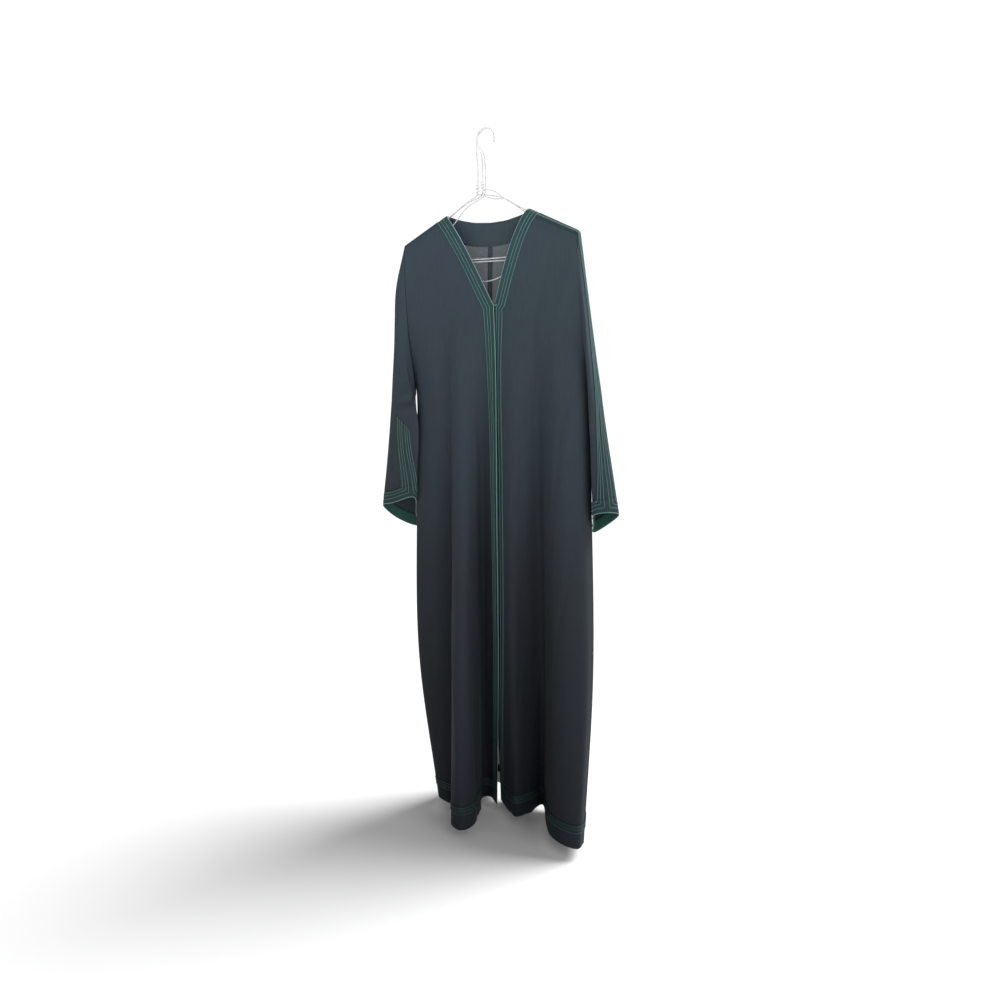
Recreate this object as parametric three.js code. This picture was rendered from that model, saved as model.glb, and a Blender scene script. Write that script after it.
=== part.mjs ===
// An open-front abaya hanging on three nested wire hangers. Millimetres, +Z up.
// The front faces -Y and the wearer's left is +X. The origin is the inner top of the hooks,
// where a rail carries them. Heights on the garment are drops below the neck point.
import * as THREE from "three";

// ---- driving dimensions ----
const WALL = 1.4; // crepe wall
const FACING = 1.0; // facing wall
const SEAM_GAP = 0.3;
const NECK_DROP = 177; // rail to neck point
const LENGTH = 1407; // neck point to hem
const BAND_WIDTH = 28;
const CORD_RISE = 0.9; // height of the cord rows on the bands
const NECK_FACING_DEPTH = 50;
const CUFF_FACING_DEPTH = 28;
const WIRE_RADIUS = 1.25;
const WIRE_SIDES = 6;
const WIRE_STEPS = 74;

const NECK_POINT = { right: -95, left: 106 };
const SHOULDER_TIP = { right: -198, left: 216 };
const TIP_DROP = { right: 57, left: 53 };
const V_BOTTOM = { x: 28, drop: 202 };
const NECK_BOW = { right: 7, left: 12 }; // how far each side of the V bows in
const BACK_NECK_DROP = 19;
const CENTRE_BACK_X = 7;

const CLOTH = { color: 0x37414a, roughness: 0.85, metalness: 0 };
const BAND = { color: 0x36504f, roughness: 0.8, metalness: 0 };
const FACING_CLOTH = { color: 0x345a4f, roughness: 0.8, metalness: 0 };
const WIRE = { color: 0xe6e6e4, roughness: 0.4, metalness: 0.1 };

// Rows run from the neck or front edge out to the armhole or side seam. Each level gives the
// drop at both ends, and how many rows of the mesh lead down to it. Down to the yoke, the arm's
// drop is below the shoulder tip.
const FRONT_LEVELS = [
  { level: "seam", neck: 0, arm: 0, rows: 0 },
  { level: "ridge", neck: 3, arm: 2.5, rows: 1 },
  { level: "yoke", neck: 17, arm: 16, rows: 1 },
  { level: "chest", neck: 110, arm: 150, rows: 2 },
  { level: "bust", neck: V_BOTTOM.drop, arm: 265, rows: 2 },
  { level: "armpit", neck: 350, arm: 397, rows: 2 },
  { level: "hip", neck: 627, arm: 630, rows: 3 },
  { level: "knee", neck: 1017, arm: 1017, rows: 4 },
  { level: "hem", neck: LENGTH, arm: LENGTH, rows: 4 },
];
const BACK_NECK_HEIGHTS = { seam: 0, ridge: 4.3, yoke: 14.2, chest: BACK_NECK_DROP };
const YOKE_LEVEL = 2;
const BUST_LEVEL = 4;
const ARMPIT_LEVEL = 5;
const CENTRE_BACK_LEVEL = 3;
const HIP_LEVEL = 6;
const KNEE_LEVEL = 7;
const HEM_LEVEL = 8;

// Half depth of the cloth over the hanger's shoulders, and the x of the armhole edge.
const YOKE = [
  { level: "seam", depth: 0, armRight: SHOULDER_TIP.right, armLeft: SHOULDER_TIP.left },
  { level: "ridge", depth: 7.5, armRight: -198.5, armLeft: 216.4 },
  { level: "yoke", depth: 10.5, armRight: -199.5, armLeft: 217 },
  { level: "chest", depth: 12.5, armRight: -196, armLeft: 222 },
];

// Folds from the front edge to the side: [x, y] at each level.
const FRONT_RIGHT_FOLDS = [
  { fold: "edge", bust: [28, -14], armpit: [36, -17], hip: [42, -18], knee: [38, 10], hem: [2, 92] },
  { fold: "roll", bust: [14, -12], armpit: [15, -8], hip: [13, 4], knee: [-1, 45], hem: [-33, 122] },
  { fold: "trough", bust: [-6, -12], armpit: [-4, -8], hip: [-8, 10], knee: [-23, 60], hem: [-45, 108] },
  { fold: "ramp", bust: [-22, -14], armpit: [-17, -16], hip: [-15, -12], knee: [-18, 12], hem: [-24, 48] },
  { fold: "crest", bust: [-43, -16], armpit: [-35, -25], hip: [-28, -34], knee: [-18, -44], hem: [-6, -34] },
  { fold: "brow", bust: [-59, -16], armpit: [-51, -26], hip: [-48, -37], knee: [-40, -53], hem: [-24, -63] },
  { fold: "back of crest", bust: [-77, -14], armpit: [-69, -22], hip: [-67, -24], knee: [-62, -32], hem: [-55, -46] },
  { fold: "tuck", bust: [-93, -13], armpit: [-88, -12], hip: [-79, -2], knee: [-75, 10], hem: [-78, 35] },
  { fold: "flank", bust: [-126, -14], armpit: [-118, -16], hip: [-122, -16], knee: [-121, 5], hem: [-119, 50] },
  { fold: "turn", bust: [-165, -12], armpit: [-163, -8], hip: [-166, -8], knee: [-175, 14], hem: [-149, 67] },
  { fold: "side", bust: [-189, -8], armpit: [-175, 4], hip: [-178, 8], knee: [-184, 35], hem: [-156, 88] },
];
const FRONT_LEFT_FOLDS = [
  { fold: "edge", bust: [24, -9], armpit: [23, -6], hip: [30, -3], knee: [27, 27], hem: [20, 114] },
  { fold: "roll", bust: [50, -12], armpit: [53, -14], hip: [55, -12], knee: [52, 16], hem: [43, 72] },
  { fold: "small crest", bust: [72, -14], armpit: [76, -18], hip: [79, -18], knee: [76, 10], hem: [70, 52] },
  { fold: "ramp", bust: [100, -14], armpit: [108, -14], hip: [107, -4], knee: [98, 45], hem: [90, 84] },
  { fold: "trough", bust: [123, -13], armpit: [131, -8], hip: [131, 14], knee: [122, 75], hem: [104, 138] },
  { fold: "rise", bust: [152, -15], armpit: [157, -16], hip: [159, -10], knee: [160, 20], hem: [150, 48] },
  { fold: "swell", bust: [168, -15], armpit: [177, -24], hip: [182, -28], knee: [188, -16], hem: [177, 4] },
  { fold: "crest", bust: [188, -15], armpit: [204, -26], hip: [213, -36], knee: [227, -34], hem: [222, -25] },
  { fold: "turn", bust: [212, -12], armpit: [234, -16], hip: [246, -22], knee: [262, -26], hem: [254, -26] },
  { fold: "side", bust: [232, -8], armpit: [247, 4], hip: [257, 6], knee: [268, 8], hem: [257, 6] },
];
// The back halves run from the centre-back seam to the side.
const BACK_RIGHT_FOLDS = [
  { fold: "centre back", bust: [7, 13], armpit: [6, 16], hip: [4, 24], knee: [-5, 88], hem: [-14, 170] },
  { fold: "crest", bust: [-50, 14], armpit: [-48, 24], hip: [-46, 48], knee: [-45, 112], hem: [-45, 205] },
  { fold: "trough", bust: [-90, 12], armpit: [-90, 14], hip: [-92, 24], knee: [-95, 78], hem: [-92, 166] },
  { fold: "outer crest", bust: [-130, 14], armpit: [-130, 20], hip: [-135, 44], knee: [-140, 104], hem: [-130, 188] },
  { fold: "turn", bust: [-168, 11], armpit: [-168, 13], hip: [-174, 24], knee: [-185, 62], hem: [-162, 125] },
  { fold: "side", bust: [-189, 8], armpit: [-175, 4], hip: [-178, 8], knee: [-184, 35], hem: [-156, 88] },
];
const BACK_LEFT_FOLDS = [
  { fold: "centre back", bust: [7, 13], armpit: [6, 16], hip: [4, 24], knee: [-5, 88], hem: [-14, 170] },
  { fold: "crest", bust: [60, 14], armpit: [58, 24], hip: [55, 46], knee: [50, 115], hem: [45, 206] },
  { fold: "trough", bust: [105, 12], armpit: [105, 16], hip: [108, 32], knee: [108, 104], hem: [104, 172] },
  { fold: "outer crest", bust: [155, 14], armpit: [160, 24], hip: [166, 48], knee: [172, 102], hem: [165, 200] },
  { fold: "hollow", bust: [195, 12], armpit: [208, 18], hip: [218, 32], knee: [226, 66], hem: [212, 115] },
  { fold: "turn", bust: [218, 10], armpit: [240, 13], hip: [250, 22], knee: [260, 34], hem: [243, 50] },
  { fold: "side", bust: [232, 8], armpit: [247, 4], hip: [257, 6], knee: [268, 8], hem: [257, 6] },
];

// Sleeve sections below the armhole. Each is a closed loop through six places, [x, y, drop]:
// narrow over the arm, and wide under it where the front and back lie either side of the body.
const SLEEVE_PLACES = ["over", "front", "frontInner", "under", "backInner", "back"];
const SLEEVE_RIGHT = [
  {
    section: "upper arm", over: [-226, 0, 150], front: [-217, -14, 208], frontInner: [-190, -16, 362],
    under: [-181.5, 0, 424], backInner: [-190, 18, 372], back: [-217, 16, 214],
  },
  {
    section: "elbow", over: [-232, 0, 300], front: [-220, -20, 348], frontInner: [-165, -21, 462],
    under: [-185, 2, 520], backInner: [-190, 27, 500], back: [-223, 22, 366],
  },
  {
    section: "forearm", over: [-248, 0, 490], front: [-226, -20, 510], frontInner: [-168, -22, 560],
    under: [-187, 3, 604], backInner: [-191, 29, 630], back: [-232, 21, 562],
  },
  {
    section: "cuff", over: [-266, 0, 664], front: [-228, -19, 653], frontInner: [-171, -22, 636],
    under: [-187, 3, 674], backInner: [-192, 29, 711], back: [-240, 20, 694],
  },
];
const SLEEVE_LEFT = [
  {
    section: "upper arm", over: [233, 0, 150], front: [236, -14, 204], frontInner: [248, -16, 362],
    under: [253.5, 0, 424], backInner: [249, 17, 370], back: [237, 16, 210],
  },
  {
    section: "elbow", over: [256, 0, 300], front: [257, -20, 342], frontInner: [259, -23, 478],
    under: [260, 2, 520], backInner: [257, 20, 496], back: [259, 21, 356],
  },
  {
    section: "forearm", over: [291, 0, 490], front: [283, -20, 512], frontInner: [267, -24, 572],
    under: [265, 2, 610], backInner: [260, 20, 626], back: [283, 20, 542],
  },
  {
    section: "cuff", over: [320, 0, 648], front: [303, -19, 643], frontInner: [272, -22, 650],
    under: [265, 0, 674], backInner: [260, 16, 693], back: [291, 18, 674],
  },
];
// Places round half a sleeve, from over the arm at 0 to under it at 3.
const SLEEVE_TURNS = [0, 0.25, 0.5, 0.75, 1, 1.33, 1.67, 2, 2.25, 2.5, 2.75, 3];
const SLEEVE_ROWS = [0, 2, 3, 2, 2];
const ARMHOLE_CLEARANCE = 1.0;
const ARMPIT_CLEARANCE = 3.0;
const ARMPIT_SPREAD = 7; // opens the foot of the armhole, where front and back meet

// ---- small helpers ----
const point = (x, y, drop) => new THREE.Vector3(x, y, -NECK_DROP - drop);
const mix = (a, b, t) => a + (b - a) * t;
const smooth = (points) => new THREE.CatmullRomCurve3(points, false, "centripetal");

function unitNormal(across, down) {
  return new THREE.Vector3().crossVectors(across, down).normalize();
}

// Normals of a grid of points, turned to the given outward side.
function gridNormals(grid, outward) {
  const total = new THREE.Vector3();
  const normals = grid.map((row, r) =>
    row.map((_, c) => {
      const up = grid[Math.max(r - 1, 0)][c];
      const below = grid[Math.min(r + 1, grid.length - 1)][c];
      const across = row[Math.min(c + 1, row.length - 1)].clone().sub(row[Math.max(c - 1, 0)]);
      const normal = unitNormal(across, below.clone().sub(up));
      total.add(normal);
      return normal;
    }),
  );
  if (total.dot(outward) < 0) normals.flat().forEach((normal) => normal.negate());
  return normals;
}

// A closed wall round a grid of middle points: an outer skin, an inner skin and the rims.
// rise lifts the outer skin column by column. A ring closes on its first column.
function clothWall(grid, normals, thickness, { ring = false, rise = [] } = {}) {
  const rows = grid.length;
  const cols = grid[0].length;
  const positions = [];
  for (const side of [1, -1]) {
    for (let r = 0; r < rows; r += 1) {
      for (let c = 0; c < cols; c += 1) {
        const lift = thickness / 2 + (side > 0 ? rise[c] ?? 0 : 0);
        const p = grid[r][c].clone().addScaledVector(normals[r][c], side * lift);
        positions.push(p.x, p.y, p.z);
      }
    }
  }
  const outer = (r, c) => r * cols + (c % cols);
  const inner = (r, c) => rows * cols + outer(r, c);
  const index = [];
  const quad = (a, b, c, d) => index.push(a, b, c, a, c, d);
  const spans = ring ? cols : cols - 1;
  for (let r = 0; r + 1 < rows; r += 1) {
    for (let c = 0; c < spans; c += 1) {
      quad(outer(r, c), outer(r + 1, c), outer(r + 1, c + 1), outer(r, c + 1));
      quad(inner(r, c), inner(r, c + 1), inner(r + 1, c + 1), inner(r + 1, c));
    }
  }
  for (let c = 0; c < spans; c += 1) {
    quad(outer(0, c), outer(0, c + 1), inner(0, c + 1), inner(0, c));
    quad(outer(rows - 1, c), inner(rows - 1, c), inner(rows - 1, c + 1), outer(rows - 1, c + 1));
  }
  if (!ring) {
    for (let r = 0; r + 1 < rows; r += 1) {
      quad(outer(r, 0), inner(r, 0), inner(r + 1, 0), outer(r + 1, 0));
      quad(outer(r, cols - 1), outer(r + 1, cols - 1), inner(r + 1, cols - 1), inner(r, cols - 1));
    }
  }
  const geometry = new THREE.BufferGeometry();
  geometry.setAttribute("position", new THREE.Float32BufferAttribute(positions, 3));
  geometry.setIndex(signedVolume(positions, index) < 0 ? flipped(index) : index);
  geometry.computeVertexNormals();
  return geometry;
}

function signedVolume(positions, index) {
  const corner = (i) => new THREE.Vector3().fromArray(positions, 3 * index[i]);
  let volume = 0;
  for (let i = 0; i < index.length; i += 3) {
    volume += corner(i).dot(corner(i + 1).cross(corner(i + 2)));
  }
  return volume;
}

function flipped(index) {
  const turned = index.slice();
  for (let i = 0; i < turned.length; i += 3) {
    [turned[i + 1], turned[i + 2]] = [turned[i + 2], turned[i + 1]];
  }
  return turned;
}

// Columns first..last of a panel, with each cut edge drawn back from its seam.
function cutPiece(panel, first, last, { backFirst = 0, backLast = 0 } = {}) {
  const grid = panel.grid.map((row) => {
    const cut = row.slice(first, last + 1).map((p) => p.clone());
    drawBack(cut, 0, 1, backFirst);
    drawBack(cut, cut.length - 1, cut.length - 2, backLast);
    return cut;
  });
  return { grid, normals: panel.normals.map((row) => row.slice(first, last + 1)) };
}

function drawBack(row, edge, next, distance) {
  const step = row[next].clone().sub(row[edge]).normalize();
  row[edge].addScaledVector(step, distance);
}

// Rows first..last of a piece; an end that meets the next stretch is drawn back by half a gap.
function cutStretch({ grid, normals }, first, last) {
  const rows = grid.slice(first, last + 1).map((row) => row.map((p) => p.clone()));
  const drawRow = (edge, next) => {
    rows[edge].forEach((p, c) => {
      const step = rows[next][c].clone().sub(p).normalize();
      p.addScaledVector(step, SEAM_GAP / 2);
    });
  };
  if (first > 0) drawRow(0, 1);
  if (last < grid.length - 1) drawRow(rows.length - 1, rows.length - 2);
  return { grid: rows, normals: normals.slice(first, last + 1) };
}

// ---- the four body panels ----
// The neck side of each panel: a slightly bowed line down the front to the foot of the V, and an
// even curve round the back of the neck.
function frontNeckEdge(neckX, drop) {
  const share = drop / V_BOTTOM.drop;
  const bow = neckX < V_BOTTOM.x ? NECK_BOW.right : -NECK_BOW.left;
  return mix(neckX, V_BOTTOM.x, share) + bow * Math.sin(Math.PI * share ** 0.6);
}

function backNeckEdge(neckX, drop) {
  return mix(neckX, CENTRE_BACK_X, 1 - Math.sqrt(1 - drop / BACK_NECK_DROP));
}

// One curve down the cloth for each fold, from the shoulder seam to the hem.
function foldCurves(folds, { arm, neckX, tipDrop, faces, isBack }) {
  const edgeX = folds[0].bust[0];
  const sideX = folds[folds.length - 1].bust[0];
  const neckEdge = isBack ? backNeckEdge : frontNeckEdge;
  return folds.map((fold) => {
    const share = (fold.bust[0] - edgeX) / (sideX - edgeX);
    const places = FRONT_LEVELS.map(({ level, neck, arm: armLevel }, i) => {
      const neckDrop = isBack ? BACK_NECK_HEIGHTS[level] ?? neck : neck;
      const armDrop = armLevel + (i > YOKE_LEVEL ? 0 : tipDrop);
      if (i >= YOKE.length) {
        return point(fold[level][0], fold[level][1], mix(neckDrop, armDrop, share));
      }
      const x = mix(neckEdge(neckX, neckDrop), YOKE[i][arm], share);
      return point(x, faces * YOKE[i].depth, mix(neckDrop, armDrop, share));
    });
    const turnLevel = isBack ? CENTRE_BACK_LEVEL : BUST_LEVEL;
    return share === 0 ? neckCurve(places, turnLevel, (drop) => neckEdge(neckX, drop)) : smooth(places);
  });
}

// A panel's free edge: it keeps to the neck line down to the turn, and starts afresh below it.
function neckCurve(places, turnLevel, edgeAt) {
  const whole = smooth(places);
  const below = smooth(places.slice(turnLevel));
  const turn = turnLevel / (places.length - 1);
  const getPoint = (step) => {
    if (step >= turn) return below.getPoint((step - turn) / (1 - turn));
    const p = whole.getPoint(step);
    p.x = edgeAt(-NECK_DROP - p.z);
    return p;
  };
  return { getPoint };
}

function rowSteps(counts) {
  const steps = [0];
  counts.slice(1).forEach((count, i) => {
    for (let k = 1; k <= count; k += 1) steps.push((i + k / count) / (counts.length - 1));
  });
  return steps;
}

const BODY_STEPS = rowSteps(FRONT_LEVELS.map(({ rows }) => rows));
const levelRow = (level) => FRONT_LEVELS.slice(0, level + 1).reduce((sum, { rows }) => sum + rows, 0);

// The arcs, from the front edge, of the band's columns, and the cord rows raised on them.
const BAND_ARCS = [0, 1.6, 2.3, 9.6, 10.5, 11.4, 16.6, 17.5, 18.4, 24.6, 25.5, 26.4, BAND_WIDTH];
const BAND_RISE = [0.7, 0.7, 0, 0, 1, 0, 0, 1, 0, 0, 1, 0, 0].map((share) => share * CORD_RISE);

// The whole grid of a panel; firstArcs fixes the distance of its first columns from the edge.
function bodyPanel(folds, columns, options) {
  const { faces, firstArcs = [0] } = options;
  const curves = foldCurves(folds, options);
  const grid = BODY_STEPS.map((step) => {
    const row = smooth(curves.map((curve) => curve.getPoint(step)));
    row.arcLengthDivisions = 400;
    const length = row.getLength();
    const start = firstArcs[firstArcs.length - 1] / length;
    const arcs = firstArcs.map((arc) => arc / length);
    for (let k = 1; k <= columns; k += 1) arcs.push(mix(start, 1, k / columns));
    return arcs.map((arc) => row.getPointAt(arc));
  });
  const normals = gridNormals(grid, new THREE.Vector3(0, faces, 0));
  const panel = { grid, normals };
  seamShoulder(panel, faces);
  return panel;
}

// The shoulder seam's walls stand straight on the seam, and stop short of it by half the gap.
function seamShoulder({ grid, normals }, faces) {
  const top = grid[0];
  const along = top[top.length - 1].clone().sub(top[0]).normalize();
  const upright = new THREE.Vector3(-along.z, 0, along.x);
  if (upright.z < 0) upright.negate();
  top.forEach((p, c) => {
    p.y = faces * SEAM_GAP / 2;
    normals[0][c].copy(upright);
  });
}

// From the armpit down, front and back share the side seam, and its walls face out along X.
function seamSide(front, back, side) {
  const last = front.grid[0].length - 1;
  const backLast = back.grid[0].length - 1;
  for (let r = levelRow(ARMPIT_LEVEL); r < front.grid.length; r += 1) {
    const shared = front.grid[r][last].clone().lerp(back.grid[r][backLast], 0.5);
    front.grid[r][last].copy(shared).y -= SEAM_GAP / 2;
    back.grid[r][backLast].copy(shared).y += SEAM_GAP / 2;
    front.normals[r][last].set(side, 0, 0);
    back.normals[r][backLast].set(side, 0, 0);
  }
}

// Both halves of the back share their points and normals on the centre-back seam.
function seamCentreBack(right, left) {
  for (let r = levelRow(CENTRE_BACK_LEVEL); r < right.grid.length; r += 1) {
    const shared = right.grid[r][0].clone().lerp(left.grid[r][0], 0.5);
    const normal = right.normals[r][0].clone().add(left.normals[r][0]).normalize();
    for (const half of [right, left]) {
      half.grid[r][0].copy(shared);
      half.normals[r][0].copy(normal);
    }
  }
}

const PANEL_COLUMNS = 20;
const BACK_COLUMNS = 13;
const bandColumn = BAND_ARCS.length - 1;
const frontRight = bodyPanel(FRONT_RIGHT_FOLDS, PANEL_COLUMNS, {
  arm: "armRight", neckX: NECK_POINT.right, tipDrop: TIP_DROP.right, faces: -1, firstArcs: BAND_ARCS,
});
const frontLeft = bodyPanel(FRONT_LEFT_FOLDS, PANEL_COLUMNS, {
  arm: "armLeft", neckX: NECK_POINT.left, tipDrop: TIP_DROP.left, faces: -1, firstArcs: BAND_ARCS,
});
const backRight = bodyPanel(BACK_RIGHT_FOLDS, BACK_COLUMNS, {
  arm: "armRight", neckX: NECK_POINT.right, tipDrop: TIP_DROP.right, faces: 1, isBack: true,
});
const backLeft = bodyPanel(BACK_LEFT_FOLDS, BACK_COLUMNS, {
  arm: "armLeft", neckX: NECK_POINT.left, tipDrop: TIP_DROP.left, faces: 1, isBack: true,
});
seamSide(frontRight, backRight, -1);
seamSide(frontLeft, backLeft, 1);
seamCentreBack(backRight, backLeft);

// ---- sleeves ----
// The armhole edge of a panel, from the shoulder tip to the armpit.
function armholeEdge({ grid }) {
  const last = grid[0].length - 1;
  return smooth(grid.slice(0, levelRow(ARMPIT_LEVEL) + 1).map((row) => row[last].clone()));
}

// A sleeve as rings of points; each ring starts over the arm and goes round by the front.
function sleeveTube(sections, frontPanel, backPanel, side) {
  const edges = [armholeEdge(frontPanel), armholeEdge(backPanel)];
  const loops = sections.map((section) => {
    const places = SLEEVE_PLACES.map((place) => point(...section[place]));
    return new THREE.CatmullRomCurve3(places, true, "centripetal");
  });
  const whole = SLEEVE_PLACES.length;
  const turns = SLEEVE_TURNS.concat(SLEEVE_TURNS.slice(1, -1).reverse().map((turn) => whole - turn));
  const curves = turns.map((turn) => {
    const angle = (2 * Math.PI * turn) / whole;
    const share = (1 - Math.cos(angle)) / 2;
    const start = edges[2 * turn > whole ? 1 : 0].getPoint(share);
    start.x += side * mix(ARMHOLE_CLEARANCE, ARMPIT_CLEARANCE, share ** 6);
    start.y -= ARMPIT_SPREAD * Math.sin(angle) * share ** 6;
    return smooth([start, ...loops.map((loop) => loop.getPoint(turn / whole))]);
  });
  const steps = rowSteps(SLEEVE_ROWS);
  const grid = steps.map((step) => curves.map((curve) => curve.getPoint(step)));
  const closed = grid.map((row) => [row[row.length - 1], ...row, row[0]]);
  const normals = gridNormals(closed, new THREE.Vector3()).map((row) => row.slice(1, -1));
  const cuff = grid[grid.length - 1];
  const middle = cuff.reduce((sum, p) => sum.add(p), new THREE.Vector3()).divideScalar(cuff.length);
  if (normals[grid.length - 1][0].dot(cuff[0].clone().sub(middle)) < 0) {
    normals.flat().forEach((normal) => normal.negate());
  }
  return { grid, normals };
}

function sleeveHalf(tube, isFront) {
  const count = SLEEVE_TURNS.length;
  const around = tube.grid[0].length;
  const order = [...Array(count).keys()].map((i) => (isFront ? i : (around - i) % around));
  const pick = (rows) => rows.map((row) => order.map((i) => row[i].clone()));
  const half = { grid: pick(tube.grid), normals: pick(tube.normals) };
  return cutPiece(half, 0, count - 1, { backFirst: SEAM_GAP / 2, backLast: 2 * SEAM_GAP });
}

// A facing inside the cuff: the sleeve's last stretch, moved in.
function cuffFacing({ grid, normals }) {
  const last = grid.length - 1;
  const inset = WALL / 2 + 2 * SEAM_GAP + FACING / 2;
  const rings = [];
  const ringNormals = [];
  for (const share of [0, 0.5, 1]) {
    const turned = normals[last].map((normal, c) => {
      const reach = (share * CUFF_FACING_DEPTH) / grid[last][c].distanceTo(grid[last - 1][c]);
      return normal.clone().lerp(normals[last - 1][c], reach).normalize();
    });
    rings.push(grid[last].map((p, c) => {
      const up = grid[last - 1][c].clone().sub(p).normalize();
      const base = p.clone().addScaledVector(up, share * CUFF_FACING_DEPTH);
      return base.addScaledVector(turned[c], -inset);
    }));
    ringNormals.push(turned);
  }
  return { grid: rings, normals: ringNormals };
}

// ---- back-neck facing ----
// The depth of a panel where a line along Y meets it.
function depthAt({ grid }, x, z) {
  const triangle = new THREE.Triangle();
  const weights = new THREE.Vector3();
  const flat = (p) => new THREE.Vector3(p.x, 0, p.z);
  const target = new THREE.Vector3(x, 0, z);
  for (let r = 0; r + 1 < grid.length; r += 1) {
    for (let c = 0; c + 1 < grid[0].length; c += 1) {
      const [a, b, d, e] = [grid[r][c], grid[r][c + 1], grid[r + 1][c], grid[r + 1][c + 1]];
      for (const corners of [[a, b, e], [a, e, d]]) {
        triangle.set(...corners.map(flat));
        if (triangle.getArea() > 0 && triangle.containsPoint(target)) {
          triangle.getBarycoord(target, weights);
          return corners[0].y * weights.x + corners[1].y * weights.y + corners[2].y * weights.z;
        }
      }
    }
  }
  return undefined;
}

// The drop of the back-neck edge at x.
function backNeckDrop(x) {
  const neckX = x < CENTRE_BACK_X ? NECK_POINT.right : NECK_POINT.left;
  const share = (x - neckX) / (CENTRE_BACK_X - neckX);
  return BACK_NECK_DROP * (1 - (1 - share) ** 2);
}

function neckFacing() {
  const columns = 12;
  const margin = 20;
  const below = 5;
  const inset = WALL / 2 + 3 * SEAM_GAP + FACING / 2;
  const depths = [0, 0.5, 1];
  const grid = depths.map((share) => {
    const row = [];
    for (let c = 0; c <= columns; c += 1) {
      const x = mix(NECK_POINT.right + margin, NECK_POINT.left - margin, c / columns);
      const p = point(x, 0, backNeckDrop(x) + below + share * NECK_FACING_DEPTH);
      const panel = x < CENTRE_BACK_X ? backRight : backLeft;
      p.y = (depthAt(panel, x, p.z) ?? depthAt(panel, x, p.z - 1)) - inset;
      row.push(p);
    }
    return row;
  });
  const back = new THREE.Vector3(0, 1, 0);
  return { grid, normals: grid.map((row) => row.map(() => back)) };
}

// ---- wire hangers ----
// y is the hanger's place in the bundle, shank its x at the neck, bar the drop of its bottom
// bar below the rail, sag how far the bar bows, and droop how far its right shoulder is bent in.
const HANGERS = [
  { name: "hanger_front", y: -3, shank: -18, bar: 274, sag: 2, droop: 0 },
  { name: "hanger_middle", y: 0, shank: -8, bar: 281, sag: 0, droop: 0 },
  { name: "hanger_back", y: 3, shank: -3, bar: 296, sag: 28, droop: 22 },
];
const HOOK_RADIUS = 21;
const WIRE_BELOW_SEAM = 5;

// The height of a wire under the shoulder seam at x.
function underSeam(x) {
  const side = x < 0 ? "right" : "left";
  const share = (x - NECK_POINT[side]) / (SHOULDER_TIP[side] - NECK_POINT[side]);
  return -NECK_DROP - TIP_DROP[side] * share - WIRE_BELOW_SEAM;
}

function hangerPath({ y, shank, bar, sag, droop }) {
  const top = WIRE_RADIUS;
  const centre = top - HOOK_RADIUS;
  const hook = [-25, 20, 65, 110, 155, 195].map((degrees) => {
    const angle = THREE.MathUtils.degToRad(degrees);
    return [HOOK_RADIUS * Math.cos(angle), centre + HOOK_RADIUS * Math.sin(angle)];
  });
  const neck = [[shank - 3, -52], [shank, -75], [shank + 1, -110], [shank - 1, -138]];
  const rightShoulder = [
    [-46, -154 - droop / 3], [-88, underSeam(-92) - droop], [-120, underSeam(-120) - droop],
    [-178 + droop / 2, underSeam(-178) - droop],
  ];
  const rightCorner = [[-193 + droop / 2, -242 - droop], [-192 + droop / 2, -255 - droop / 2]];
  const bottomBar = [[-176, -bar + 2], [-90, -bar], [0, -bar - sag], [90, -bar], [182, -bar + 2]];
  const leftCorner = [[206, -252], [207, -238]];
  const leftShoulder = [
    [192, underSeam(192) - droop / 15], [125, underSeam(125) - droop / 8], [95, -177.5 - droop / 5], [47, -151],
  ];
  const end = [[20, -144], [shank + 3.5, -136], [shank + 4, -118]];
  return smooth(
    [...hook, ...neck, ...rightShoulder, ...rightCorner, ...bottomBar, ...leftCorner, ...leftShoulder, ...end].map(
      ([x, z]) => new THREE.Vector3(x, y, z),
    ),
  );
}

function hangerWire(hanger) {
  const section = new THREE.Shape();
  for (let side = 0; side < WIRE_SIDES; side += 1) {
    const angle = (2 * Math.PI * side) / WIRE_SIDES;
    const place = [WIRE_RADIUS * Math.cos(angle), WIRE_RADIUS * Math.sin(angle)];
    if (side === 0) section.moveTo(...place);
    else section.lineTo(...place);
  }
  return new THREE.ExtrudeGeometry(section, {
    steps: WIRE_STEPS, bevelEnabled: false, extrudePath: hangerPath(hanger),
  });
}

// ---- the assembly ----
const garment = new THREE.Group();

function addMesh(name, geometry, look) {
  const mesh = new THREE.Mesh(geometry, new THREE.MeshStandardMaterial(look));
  mesh.name = name;
  garment.add(mesh);
}

function addCloth(name, piece, look, thickness = WALL, options = {}) {
  addMesh(name, clothWall(piece.grid, piece.normals, thickness, options), look);
}

// Each body panel is one cut of cloth. Its solid is parted across the cloth at the hip and the
// knee, so that each stretch bends little and its inside stays open.
const STRETCHES = [
  { stretch: "top", from: 0, to: levelRow(HIP_LEVEL) },
  { stretch: "hip", from: levelRow(HIP_LEVEL), to: levelRow(KNEE_LEVEL) },
  { stretch: "skirt", from: levelRow(KNEE_LEVEL), to: levelRow(HEM_LEVEL) },
];

function addPanel(name, piece) {
  STRETCHES.forEach(({ stretch, from, to }) => {
    addCloth(`${name}_${stretch}`, cutStretch(piece, from, to), CLOTH);
  });
}

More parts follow.
